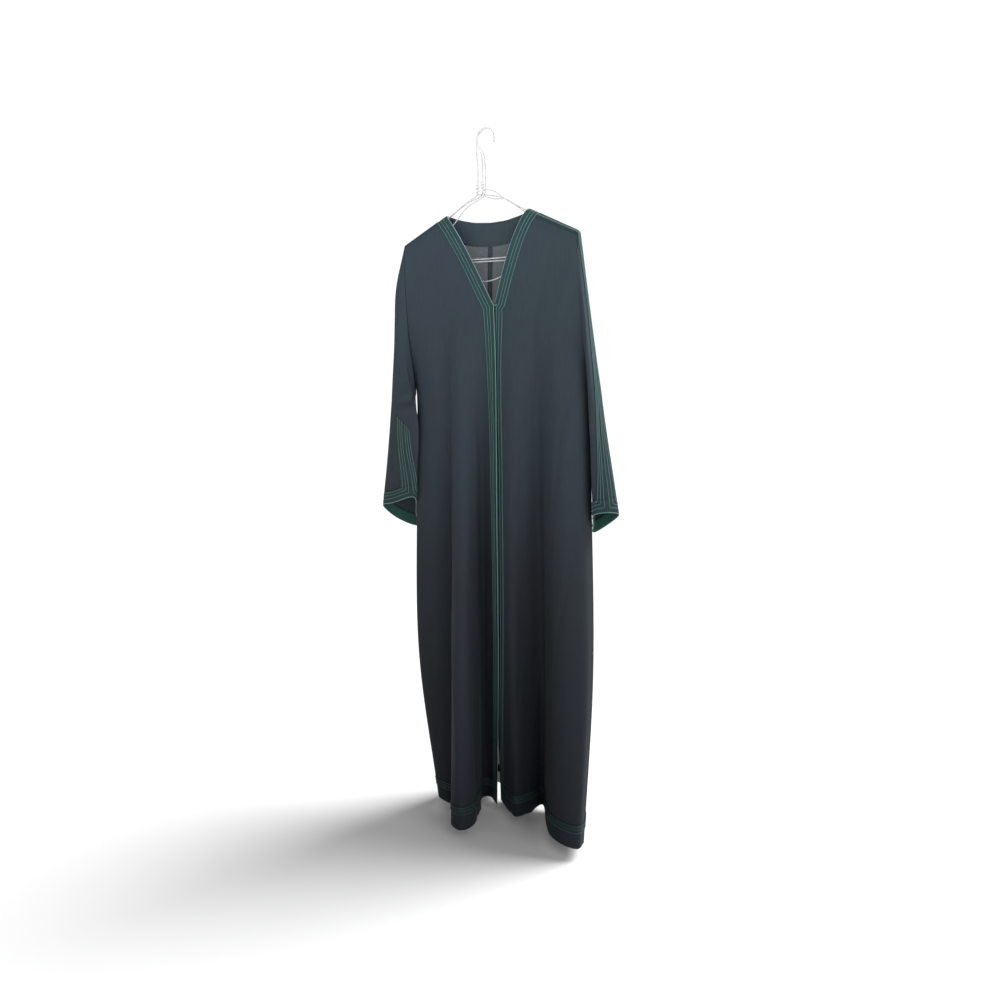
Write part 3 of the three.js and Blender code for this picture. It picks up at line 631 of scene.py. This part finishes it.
# ---- The fronts ----
# Two crepe fronts, open all the way down, the right lapping over the left by about a centimetre.
# Each hangs in one deep fold beside its edge and broad soft ones out to the side.
FRONT_RIGHT_FOLDS = (
    ("edge", (28, -14), (36, -17), (42, -18), (38, 10), (2, 92)),
    ("roll", (14, -12), (15, -8), (13, 4), (-1, 45), (-33, 122)),
    ("trough", (-6, -12), (-4, -8), (-8, 10), (-23, 60), (-45, 108)),
    ("ramp", (-22, -14), (-17, -16), (-15, -12), (-18, 12), (-24, 48)),
    ("crest", (-43, -16), (-35, -25), (-28, -34), (-18, -44), (-6, -34)),
    ("brow", (-59, -16), (-51, -26), (-48, -37), (-40, -53), (-24, -63)),
    ("back of crest", (-77, -14), (-69, -22), (-67, -24), (-62, -32), (-55, -46)),
    ("tuck", (-93, -13), (-88, -12), (-79, -2), (-75, 10), (-78, 35)),
    ("flank", (-126, -14), (-118, -16), (-122, -16), (-121, 5), (-119, 50)),
    ("turn", (-165, -12), (-163, -8), (-166, -8), (-175, 14), (-149, 67)),
    ("side", (-189, -8), (-175, 4), (-178, 8), (-184, 35), (-156, 88)),
)
FRONT_LEFT_FOLDS = (
    ("edge", (24, -9), (23, -6), (30, -3), (24, 28), (2, 118)),
    ("roll", (50, -12), (53, -14), (55, -12), (52, 16), (43, 72)),
    ("small crest", (72, -14), (76, -18), (79, -18), (76, 10), (70, 52)),
    ("ramp", (100, -14), (108, -14), (107, -4), (98, 45), (90, 84)),
    ("trough", (123, -13), (131, -8), (131, 14), (122, 75), (104, 138)),
    ("rise", (152, -15), (157, -16), (159, -10), (160, 20), (150, 48)),
    ("swell", (168, -15), (177, -24), (182, -28), (188, -16), (177, 4)),
    ("crest", (188, -15), (204, -26), (213, -36), (227, -34), (222, -25)),
    ("turn", (212, -12), (234, -16), (246, -22), (262, -26), (254, -26)),
    ("side", (232, -8), (247, 4), (257, 6), (268, 8), (257, 6)),
)
FRONT_RIGHT_CREASES = (
    (60, 330, 52, 700, 8, -1.2),
    (92, 130, 104, 640, 10, 1.6),
    (128, 90, 146, 420, 12, -2.0),
    (172, 250, 164, 760, 9, 1.8),
    (196, 392, 150, 520, 11, -2.0),
    (150, 640, 166, 1400, 12, -2.2),
    (216, 700, 236, 1400, 12, 2.2),
    (120, 760, 128, 1400, 10, 1.6),
)
FRONT_LEFT_CREASES = (
    (58, 260, 60, 760, 9, 1.4),
    (94, 110, 112, 560, 11, -1.8),
    (150, 80, 160, 380, 12, 2.0),
    (190, 300, 178, 820, 9, -1.6),
    (226, 396, 184, 540, 11, 2.0),
    (70, 700, 76, 1400, 10, -1.8),
    (130, 820, 140, 1400, 12, 2.4),
    (236, 620, 262, 1300, 10, -1.8),
)
FRONT_COLUMNS = 120
front_right = hang_panel(FRONT_RIGHT_FOLDS, FRONT_RIGHT_CREASES, "right", False, FRONT_COLUMNS)
front_left = hang_panel(FRONT_LEFT_FOLDS, FRONT_LEFT_CREASES, "left", False, FRONT_COLUMNS)
sew_side(front_right, back_right)
sew_side(front_left, back_left)
shapes = {
    "back_right": back_right, "back_left": back_left, "front_right": front_right, "front_left": front_left,
}

STRETCHES = ("top", "hip", "skirt")
for name, panel in shapes.items():
    look = sheer_crepe if name.startswith("back") else front_crepe
    cloth_piece(name, panel, look, [f"{name}_{stretch}" for stretch in STRETCHES])

# ---- The edge bands ----
# A strip of dark green crepe folded over each neck and front edge, 28 mm wide, with a piped
# edge and three rows of couched green cord.
BAND_WIDTH = 28.0
BAND_LIFT = 0.75
BAND_THICKNESS = 0.6
BAND_COLUMNS = 12
CORD_ROWS = (10.5, 17.5, 25.5)
CORD_RADIUS = 0.65
PIPING_RADIUS = 0.9
CORD_SIDES = 8
CORD_EVERY = 4.0
CORD_LIFT = BAND_LIFT + BAND_THICKNESS / 2 + 0.6 * CORD_RADIUS
TURNS_TO_A_METRE = 380.0
LOOP_POINTS = ((26.5, -15.5, -373), (29, -17.4, -377.5), (33, -17.6, -379), (36, -15.5, -376))
LOOP_SAMPLES = 12

# The green bands darken towards the hem by painted shade.
arm_band_cloth = cloth_finish(
    "green_arm_band", (0.036, 0.060, 0.064), (0.012, 0.019, 0.020), (0.022, 0.040, 0.043), rough=0.7
)
band_cloth = cloth_finish(
    "green_band", (0.038, 0.084, 0.084), (0.010, 0.019, 0.019), (0.019, 0.038, 0.039), rough=0.7
)


def cord_finish(name, high, low, hollow):
    """Twisted cord: two strands that wind round each other, with painted shade in the hollow between."""
    material, tree, shader = new_finish(name, {"Roughness": 0.6, "Specular IOR Level": 0.2})
    place = add_node(tree, "TexCoord")
    along = add_node(tree, "SeparateXYZ", {"Vector": place.outputs["UV"]})
    where = add_node(tree, "SeparateXYZ", {"Vector": place.outputs["Object"]})
    # painted shade: the cord's colour darkens from the shoulders to the hem
    fade = painted_shade_to_hem(tree, where.outputs["Z"], high, low)
    winding = add_node(tree, "Math", {
        0: along.outputs["Y"], 1: TURNS_TO_A_METRE, 2: along.outputs["X"],
    }, operation="MULTIPLY_ADD")
    turn = add_node(tree, "Math", {0: winding.outputs["Value"], 1: 4 * math.pi}, operation="MULTIPLY")
    strand = add_node(tree, "Math", {0: turn.outputs["Value"]}, operation="SINE")
    rise = ranged(tree, strand.outputs["Value"], -1.0, 1.0)
    # painted shade: the colour darkens in the hollow between the strands
    tone = ranged(tree, rise, 0.0, 1.0, hollow)
    tree.links.new(scaled(tree, fade, tone), shader.inputs["Base Color"])
    bump = add_node(tree, "Bump", {"Strength": 0.6, "Distance": 0.0003, "Height": rise})
    tree.links.new(bump.outputs["Normal"], shader.inputs["Normal"])
    return material


# Cord and piping colours darken towards the hem by painted shade.
cord = cord_finish("green_cord", (0.22, 0.37, 0.37), (0.030, 0.066, 0.064), 0.45)
piping = cord_finish("mint_piping", (0.30, 0.50, 0.48), (0.06, 0.115, 0.11), 0.55)


def across_at(panel, arc, key):
    """A quantity of a panel, down all its rows, at one distance from its edge."""
    values = panel[key]
    run = panel["arcs"]
    return np.array([
        [np.interp(arc, run[row], values[row, :, k]) for k in range(values.shape[2])]
        for row in range(len(run))
    ])


def measured(points, normals):
    """A table of points as a piece of cloth, with the distances along and down it."""
    arcs = np.array([travelled(row) for row in points])
    return {"points": points, "normals": normals, "arcs": arcs, "fallen": runs_down(points)}


def lifted(points, normals, lift):
    """Points moved out from the cloth, and the directions that they moved in."""
    normals = unit(np.array(normals))
    return np.array(points) + normals * lift, normals


def stacked(lines, axis=0):
    """Lines of points and normals laid side by side, as one table of each."""
    return (np.stack(values, axis=axis) for values in zip(*lines))


def follow_edge(panel, arc, lift):
    return lifted(across_at(panel, arc, "points"), across_at(panel, arc, "normals"), lift)


def strip_beside_edge(panel, first, last, columns, lift):
    arcs = np.linspace(first, last, columns + 1)
    points, normals = stacked([follow_edge(panel, arc, lift) for arc in arcs], axis=1)
    return measured(points, normals) | {"arcs": np.tile(arcs, (len(points), 1))}


def even_path(points, normals, spacing=CORD_EVERY):
    run = travelled(points)
    wanted = np.linspace(0, run[-1], max(int(run[-1] / spacing), 2) + 1)
    path = np.stack([np.interp(wanted, run, points[:, k]) for k in range(3)], axis=1)
    outward = np.stack([np.interp(wanted, run, normals[:, k]) for k in range(3)], axis=1)
    return path, unit(outward)


def cord_piece(name, paths, radius, material, closed=False, replaced=()):
    mesh = bmesh.new()
    uv_layer = mesh.loops.layers.uv.new("UVMap")
    for path, outward in paths:
        lay_tube(mesh, uv_layer, path, outward, radius, CORD_SIDES, closed)
    close_tubes(mesh)
    return new_piece(name, mesh, material, replaced)


trims = {name: [] for name in shapes}
for side in ("right", "left"):
    panel = shapes[f"front_{side}"]
    strip = strip_beside_edge(panel, 0.0, BAND_WIDTH, BAND_COLUMNS, BAND_LIFT)
    band = cloth_piece(
        f"band_{side}_cloth", strip, band_cloth, [f"band_{side}"], BAND_THICKNESS
    )
    rows = [even_path(*follow_edge(panel, arc, CORD_LIFT)) for arc in CORD_ROWS]
    cords = cord_piece(f"band_cords_{side}", rows, CORD_RADIUS, cord)
    edge = [even_path(*follow_edge(panel, 0.0, BAND_LIFT / 2))]
    pipe = cord_piece(f"band_piping_{side}", edge, PIPING_RADIUS, piping)
    trims[f"front_{side}"] += [band, cords, pipe]

loop_path = spline(LOOP_POINTS, np.linspace(0, 1, LOOP_SAMPLES))
loop_out = np.tile([0.0, -1.0, 0.0], (LOOP_SAMPLES, 1))
trims["front_right"].append(cord_piece("neck_loop", [(loop_path, loop_out)], PIPING_RADIUS, piping))

# ---- The hem trim ----
# Three rows of the same cord on a narrow green strip, run round the skirt above the hem.
HEM_ROWS = (38.0, 45.5, 53.0)
HEM_STRIP = (34.5, 56.5)
HEM_STRIP_LINES = 5
UNDER_BAND = 2.0


def down_column(panel, c, distance):
    """The point and the normal at one distance down a column of a panel."""
    fallen = panel["fallen"][:, c]
    return [
        [np.interp(distance, fallen, panel[key][:, c, k]) for k in range(3)] for key in ("points", "normals")
    ]


def follow_hem(panel, above, lift, first=0):
    """A line round a panel at one height above its hem, measured on the cloth."""
    columns = range(first, panel["points"].shape[1])
    places = [down_column(panel, c, panel["fallen"][-1, c] - above) for c in columns]
    return lifted(*zip(*places), lift)


for name in ("front_right", "front_left", "back_right", "back_left"):
    panel = shapes[name]
    first = 0
    if name.startswith("front"):
        first = int(np.searchsorted(panel["arcs"][-1], BAND_WIDTH - UNDER_BAND))
    heights = np.linspace(*HEM_STRIP, HEM_STRIP_LINES)
    points, normals = stacked([follow_hem(panel, above, BAND_LIFT, first) for above in heights])
    strip = measured(points, normals) | {"fallen": np.repeat(heights[:, None], points.shape[1], axis=1)}
    hem_band = cloth_piece(f"hem_band_{name}", strip, band_cloth, (), BAND_THICKNESS)
    rows = [even_path(*follow_hem(panel, above, CORD_LIFT, first)) for above in HEM_ROWS]
    hem_cords = cord_piece(f"hem_cords_{name}", rows, CORD_RADIUS, cord)
    trims[name] += [hem_band, hem_cords]

# ---- The sleeves ----
# Wide straight sleeves, each a front and a back half of crepe, joined over and under the arm.
# They hang close to the body and open towards the cuffs.
# Each section is a closed loop through six places, [x, y, drop]: over the arm, front, inner front,
# under the arm, inner back and back.
SLEEVE_SECTIONS = {
    "right": (
        ("upper arm", (
            (-226, 0, 150), (-217, -14, 208), (-183, -19, 362),
            (-181.5, 0, 424), (-190, 18, 372), (-217, 16, 214),
        )),
        ("elbow", (
            (-232, 0, 300), (-220, -20, 348), (-158, -24, 450),
            (-184, 14, 520), (-188, 30, 500), (-223, 22, 366),
        )),
        ("forearm", (
            (-248, 0, 490), (-226, -20, 510), (-161, -24, 552),
            (-185, 18, 604), (-189, 34, 630), (-232, 21, 562),
        )),
        ("cuff", (
            (-266, 0, 664), (-228, -19, 653), (-169, -22, 636),
            (-187, 20, 682), (-190, 36, 711), (-240, 20, 694),
        )),
    ),
    "left": (
        ("upper arm", (
            (233, 0, 150), (236, -14, 204), (248, -16, 362),
            (253.5, 0, 424), (249, 17, 370), (237, 16, 210),
        )),
        ("elbow", (
            (256, 0, 300), (257, -20, 342), (259, -23, 478),
            (260, 2, 520), (257, 20, 496), (259, 21, 356),
        )),
        ("forearm", (
            (291, 0, 490), (283, -20, 512), (267, -24, 572),
            (265, 2, 610), (260, 20, 626), (283, 20, 542),
        )),
        ("cuff", (
            (320, 0, 648), (303, -19, 643), (272, -22, 650),
            (265, 0, 674), (260, 16, 693), (291, 18, 674),
        )),
    ),
}
SLEEVE_PLACES = 6
SLEEVE_SIDES = 120
SLEEVE_ROWS = (0, 18, 30, 30, 34)
ARMHOLE_CLEARANCE = 1.0
ARMPIT_CLEARANCE = 3.0
ARMPIT_SPREAD = 7.0
# Creases round a sleeve: degrees from the over-arm, share of the sleeve's length, width, depth
SLEEVE_CREASES = {
    "right": (
        (70, 0.10, 84, 0.62, 9, 1.8), (110, 0.30, 60, 0.58, 8, -2.2), (30, 0.45, 48, 0.95, 8, 1.4),
        (100, 0.55, 118, 0.98, 9, -1.6), (250, 0.08, 262, 0.60, 10, 2.0), (300, 0.30, 286, 0.95, 9, -1.8),
    ),
    "left": (
        (60, 0.08, 72, 0.60, 9, 1.6), (110, 0.28, 80, 0.66, 9, -2.0), (36, 0.50, 40, 0.97, 8, 1.4),
        (120, 0.55, 132, 0.98, 9, 1.6), (255, 0.08, 268, 0.62, 10, -2.0), (300, 0.32, 288, 0.95, 9, 1.8),
    ),
}
# Slanting folds: distance round from the over-arm and drop at each end, width, depth
SLEEVE_FOLDS = {
    "right": (
        (28, 430, 244, 396, 7, -7.0), (34, 410, 240, 378, 10, 3.5), (40, 330, 150, 388, 9, 2.2),
        (420, 300, 300, 400, 10, -2.5),
    ),
    "left": (
        (46, 372, 150, 420, 8, -2.0), (420, 330, 300, 420, 10, 2.4),
    ),
}


def sleeve_tube(side):
    """Rings of points from the armhole to the cuff; each starts over the arm, then the front."""
    front, back = shapes[f"front_{side}"], shapes[f"back_{side}"]
    face = -1 if side == "right" else 1
    last = level_row(ARMPIT_LEVEL) + 1
    edges = [panel["points"][:last, -1] for panel in (front, back)]
    steps = row_steps(SLEEVE_ROWS)
    turns = np.linspace(0, 1, SLEEVE_SIDES + 1)[:-1]
    loops = []
    for _, loop in SLEEVE_SECTIONS[side]:
        places = [(x, y, -NECK_DROP - drop) for x, y, drop in loop]
        loops.append(spline(places, turns, closed=True))
    curves = []
    for column, turn in enumerate(turns):
        angle = 2 * math.pi * turn
        share = (1 - math.cos(angle)) / 2
        edge = edges[1 if turn > 0.5 else 0]
        run = travelled(edge)
        start = np.array([np.interp(share * run[-1], run, edge[:, k]) for k in range(3)])
        start[0] += face * mix(ARMHOLE_CLEARANCE, ARMPIT_CLEARANCE, share**6)
        start[1] -= ARMPIT_SPREAD * math.sin(angle) * share**6
        curves.append(spline([start] + [loop[column] for loop in loops], steps))
    points = np.stack(curves, axis=1)
    normals = ring_normals(points)
    degrees = np.degrees(2 * math.pi * turns)[None, :] * np.ones((len(steps), 1))
    length = steps[:, None] * np.ones((1, SLEEVE_SIDES))
    depth = np.zeros_like(degrees)
    for turn_a, share_a, turn_b, share_b, width, height in SLEEVE_CREASES[side]:
        along = np.clip((length - share_a) / (share_b - share_a), 0, 1)
        aside = degrees - mix(turn_a, turn_b, along) - 3.0 * np.sin(9 * along + turn_a)
        depth += height * np.sin(math.pi * along) * np.exp(-((aside / width) ** 2))
    around = np.array([travelled(closed_ring(points)[row])[:-1] for row in range(len(points))])
    depth += crease_depth(around, -NECK_DROP - points[:, :, 2], SLEEVE_FOLDS[side])
    points = points + normals * depth[..., None]
    return {"points": points, "normals": ring_normals(points), "above": runs_down(points[::-1])[::-1]}


def ring_normals(points):
    ring = np.concatenate([points[:, -1:], points, points[:, :1]], axis=1)
    normals = unit(np.cross(np.gradient(ring, axis=1), np.gradient(ring, axis=0)))[:, 1:-1]
    middle = points[-1].mean(axis=0)
    return -normals if normals[-1, 0] @ (points[-1, 0] - middle) < 0 else normals


def closed_ring(values):
    return np.concatenate([values, values[:, :1]], axis=1)


def sleeve_half(tube, is_front):
    points, normals = closed_ring(tube["points"]), closed_ring(tube["normals"])
    half = SLEEVE_SIDES // 2
    part = slice(0, half + 1) if is_front else slice(half, SLEEVE_SIDES + 1)
    return measured(points[:, part], normals[:, part])


tubes = {side: sleeve_tube(side) for side in ("right", "left")}
for side, tube in tubes.items():
    for part, is_front in (("front", True), ("back", False)):
        name = f"sleeve_{side}_{part}"
        cloth_piece(f"{name}_cloth", sleeve_half(tube, is_front), crepe, [name])

# ---- The sleeve strips and cuffs ----
# A strip of the green crepe, piped with six rows of cord, runs along each shoulder and down the
# sleeve. At the cuff its rows turn off to both sides and go round above a piped edge.
STRIP_HALF = 28.0
STRIP_ROWS = (5.5, 13.0, 21.0)
CUFF_ROWS = (10.5, 18.8, 25.6)
CUFF_BAND = 31.0
CUFF_PIPING_RADIUS = 1.0
SHOULDER_BEHIND = {"right": 20.0, "left": 12.0}
STRIP_LENGTHS = 110
STRIP_COLUMNS = 10
CROSS_LINES = 7
FROM_SEAM = 0.2
CORD_TURN_STEP = 1.5
LAST_STEP = 0.5
# Centre lines: share of the sleeve's length, turn (six to a round), distance behind it
OVER_ARM = {
    "right": ((0, 6.0, 20), (0.12, 5.9, 20), (0.3, 5.7, 14), (0.55, 5.5, 4), (1, 5.4, 0)),
    "left": (
        (0, 6.0, 12), (0.2, 6.0, 12), (0.375, 6.0, 11), (0.575, 6.34, 2), (0.69, 6.82, 0), (0.86, 7.0, 0),
        (1, 7.06, 0),
    ),
}
INNER_FRONT = ((0.63, 1.42, 0), (0.72, 1.48, 0), (0.824, 1.62, 0), (0.93, 1.78, 0), (1, 1.84, 0))
SMOOTHED_ROWS = 13


def on_sleeve(tube, places, lift):
    """Points and normals at places given by column and height above the cuff's edge."""
    points, normals = [], []
    for column, height in places:
        first = int(column) % SLEEVE_SIDES
        both = []
        for c in (first, (first + 1) % SLEEVE_SIDES):
            heights = tube["above"][::-1, c]
            both.append([
                [np.interp(height, heights, tube[key][::-1, c, k]) for k in range(3)]
                for key in ("points", "normals")
            ])
        point, normal = mix(np.array(both[0]), np.array(both[1]), column % 1)
        points.append(point)
        normals.append(normal)
    return lifted(points, normals, lift)


def beside_centre(tube, centre, aside, down_to):
    """Places down a sleeve, a set distance beside a centre line, to a height above the edge."""
    shares, turns, behind = np.array(centre, float).T
    steps = row_steps(SLEEVE_ROWS)
    window = np.hanning(SMOOTHED_ROWS + 2)[1:-1]
    window = window / window.sum()
    padded = (
        np.pad(np.interp(steps, shares, values), SMOOTHED_ROWS // 2, mode="edge")
        for values in (turns, behind)
    )
    turns, behind = (np.convolve(values, window, mode="valid") for values in padded)
    columns, heights = [], []
    ring_columns = np.arange(SLEEVE_SIDES + 1)
    for row, ring in enumerate(closed_ring(tube["points"])):
        run = travelled(ring)
        arc = np.interp(turns[row] / SLEEVE_PLACES * SLEEVE_SIDES % SLEEVE_SIDES, ring_columns, run)
        column = np.interp((arc - behind[row] + aside) % run[-1], run, ring_columns)
        near = int(column) % SLEEVE_SIDES
        beyond = (near + 1) % SLEEVE_SIDES
        columns.append(column)
        heights.append(mix(tube["above"][row, near], tube["above"][row, beyond], column % 1))
    columns, heights = np.unwrap(columns, period=SLEEVE_SIDES), np.array(heights)
    last = np.interp(down_to, heights[::-1], columns[::-1])
    kept = (heights > down_to + LAST_STEP) & (steps >= shares[0])
    return np.vstack([np.stack([columns[kept], heights[kept]], axis=1), [(last, down_to)]])


def along_shoulder(side, ahead, lift):
    """A line beside the shoulder seam, from the neck to the arm; ahead of it is on the front."""
    panel = shapes[f"front_{side}" if ahead >= 0 else f"back_{side}"]
    columns = [
        c for c in range(panel["points"].shape[1]) if ahead < 0 or panel["arcs"][0, c] >= CORD_ROWS[-1]
    ]
    return lifted(*zip(*(down_column(panel, c, abs(ahead)) for c in columns)), lift)


def sleeve_strip(tube, centre):
    """The strip's cloth on the sleeve, down to the cuff band."""
    lines = []
    for aside in np.linspace(-STRIP_HALF, STRIP_HALF, STRIP_COLUMNS + 1):
        places = beside_centre(tube, centre, aside, CUFF_BAND)
        even = np.linspace(0, len(places) - 1, STRIP_LENGTHS)
        steps = np.arange(len(places))
        even_places = np.stack([np.interp(even, steps, places[:, k]) for k in range(2)], axis=1)
        lines.append(on_sleeve(tube, even_places, BAND_LIFT))
    return measured(*stacked(lines, axis=1))


def strip_piece(name, strip, ring=False):
    return cloth_piece(name, strip, arm_band_cloth, (), BAND_THICKNESS, ring)


def cuff_ring(tube, heights, lift):
    rings = [
        on_sleeve(tube, [(column, height) for column in range(SLEEVE_SIDES + 1)], lift)
        for height in heights
    ]
    return measured(*stacked(rings))


for side, tube in tubes.items():
    strips = [OVER_ARM[side]] + ([INNER_FRONT] if side == "right" else [])
    for number, centre in enumerate(strips):
        strip = sleeve_strip(tube, centre)
        place = ("over_arm", "under_arm")[number]
        strip_piece(f"strip_{place}_{side}", strip)
    behind = SHOULDER_BEHIND[side]
    for part, start, reach in (
        ("front", FROM_SEAM, STRIP_HALF - behind), ("back", -FROM_SEAM, -STRIP_HALF - behind),
    ):
        places = np.linspace(start, reach, CROSS_LINES)
        shoulder = measured(*stacked([along_shoulder(side, ahead, BAND_LIFT) for ahead in places]))
        trims[f"{part}_{side}"].append(strip_piece(f"shoulder_strip_{side}_{part}", shoulder))
    rows = []
    for aside, height in zip(STRIP_ROWS, CUFF_ROWS):
        for number, centre in enumerate(strips):
            other = strips[(number + 1) % len(strips)]
            down = beside_centre(tube, centre, aside, height)
            up = beside_centre(tube, other, -aside, height)[::-1]
            start = down[-1, 0]
            round_to = start + (up[0, 0] - start) % SLEEVE_SIDES
            turned = np.arange(start + 1, round_to, CORD_TURN_STEP)
            level = np.stack([turned, np.full(len(turned), height)], axis=1)
            points, normals = on_sleeve(tube, np.vstack([down, level, up]), CORD_LIFT)
            ends = []
            if number == 0:
                ends.append((along_shoulder(side, aside - behind, CORD_LIFT), True))
            if (number + 1) % len(strips) == 0:
                ends.append((along_shoulder(side, -aside - behind, CORD_LIFT), False))
            for (more, out), before in ends:
                points = np.vstack([more, points] if before else [points, more[::-1]])
                normals = np.vstack([out, normals] if before else [normals, out[::-1]])
            rows.append(even_path(points, normals))
    cord_piece(f"sleeve_cords_{side}", rows, CORD_RADIUS, cord)
    band = cuff_ring(tube, np.linspace(0, CUFF_BAND, CROSS_LINES), BAND_LIFT)
    strip_piece(f"cuff_band_{side}", band, ring=True)
    edge = cuff_ring(tube, [0.0], BAND_LIFT / 2)
    pipe = [(edge["points"][0, :-1], edge["normals"][0, :-1])]
    cord_piece(f"cuff_piping_{side}", pipe, CUFF_PIPING_RADIUS, piping, closed=True)

# ---- The facings ----
# Inside each cuff a green facing, inside the back neck a double one of the crepe, and down
# the back the allowances of the seam, pressed open.
CUFF_FACING_EDGES = (0.6, 28.0)
NECK_FACING_DEPTH = 50.0
NECK_FACING_TOP = 1.5
NECK_FACING_ENDS = 9.0
FACING_LIFT = -1.3
SEAM_ALLOWANCE = 6.0
SEAM_ALLOWANCE_LIFT = -0.9
SEAM_ALLOWANCE_THICKNESS = 0.5
ROWS_UNDER_CHEST = 4
FACING_COLUMNS = 61
FACING_ROWS = 13
BEFORE_BACK = 40.0

# These cloths darken towards the hem by painted shade.
facing_cloth = cloth_finish(
    "green_facing", (0.024, 0.080, 0.062), (0.010, 0.034, 0.027), sheen=0.05, rough=0.6
)
double_crepe = cloth_finish("double_crepe", (0.056, 0.076, 0.092), CREPE_LOW, CREPE_MIDDLE)


def facing_piece(node, facing, cloth, ring=False):
    return cloth_piece(f"{node}_cloth", facing, cloth, [node], BAND_THICKNESS, ring)


for side, tube in tubes.items():
    facing = cuff_ring(tube, np.linspace(*CUFF_FACING_EDGES, CROSS_LINES), FACING_LIFT)
    facing["normals"] = -facing["normals"]
    name = f"cuff_facing_{side}"
    shapes[name] = facing
    facing_piece(name, facing, facing_cloth, ring=True)


def inside_back():
    """The two back panels as one surface that a line can be cast on."""
    corners, faces = [], []
    for panel in (back_right, back_left):
        rows, columns = panel["points"].shape[:2]
        first = len(corners)
        corners += [Vector(point) for point in panel["points"].reshape(-1, 3)]
        for row in range(level_row(ARMPIT_LEVEL)):
            for c in range(columns - 1):
                at = first + row * columns + c
                faces.append((at, at + 1, at + columns + 1, at + columns))
    return BVHTree.FromPolygons(corners, faces)


surface = inside_back()
table, facing_in = [], []
across = np.linspace(
    NECK_POINT["right"] + NECK_FACING_ENDS, NECK_POINT["left"] - NECK_FACING_ENDS, FACING_COLUMNS
)
for below in np.linspace(NECK_FACING_TOP, NECK_FACING_TOP + NECK_FACING_DEPTH, FACING_ROWS):
    row, out = [], []
    for x in across:
        neck_x = NECK_POINT["right" if x < CENTRE_BACK_X else "left"]
        edge_drop = BACK_NECK_DROP * (1 - (1 - (x - neck_x) / (CENTRE_BACK_X - neck_x)) ** 2)
        start = Vector((x, -BEFORE_BACK, -NECK_DROP - edge_drop - below))
        place, normal, _, _ = surface.ray_cast(start, Vector((0, 1, 0)))
        normal = normal if normal.y < 0 else -normal
        row.append(np.array(place) + np.array(normal) * -FACING_LIFT)
        out.append(np.array(normal))
    table.append(row)
    facing_in.append(out)
neck_facing = measured(np.array(table), np.array(facing_in))
facing_piece("neck_facing", neck_facing, double_crepe)

for name, panel in (("back_right", back_right), ("back_left", back_left)):
    allowance = strip_beside_edge(panel, 2 * SEAM_HALF_GAP, SEAM_ALLOWANCE, 2, SEAM_ALLOWANCE_LIFT)
    top = level_row(CHEST_LEVEL) + ROWS_UNDER_CHEST
    allowance = {key: values[top:] for key, values in allowance.items()}
    allowance["normals"] = -allowance["normals"]
    trims[name].append(cloth_piece(
        f"seam_allowance_{name}", allowance, double_crepe, (), SEAM_ALLOWANCE_THICKNESS
    ))


for side, tube in tubes.items():
    sleeve_half(tube, True)
    sleeve_half(tube, False)
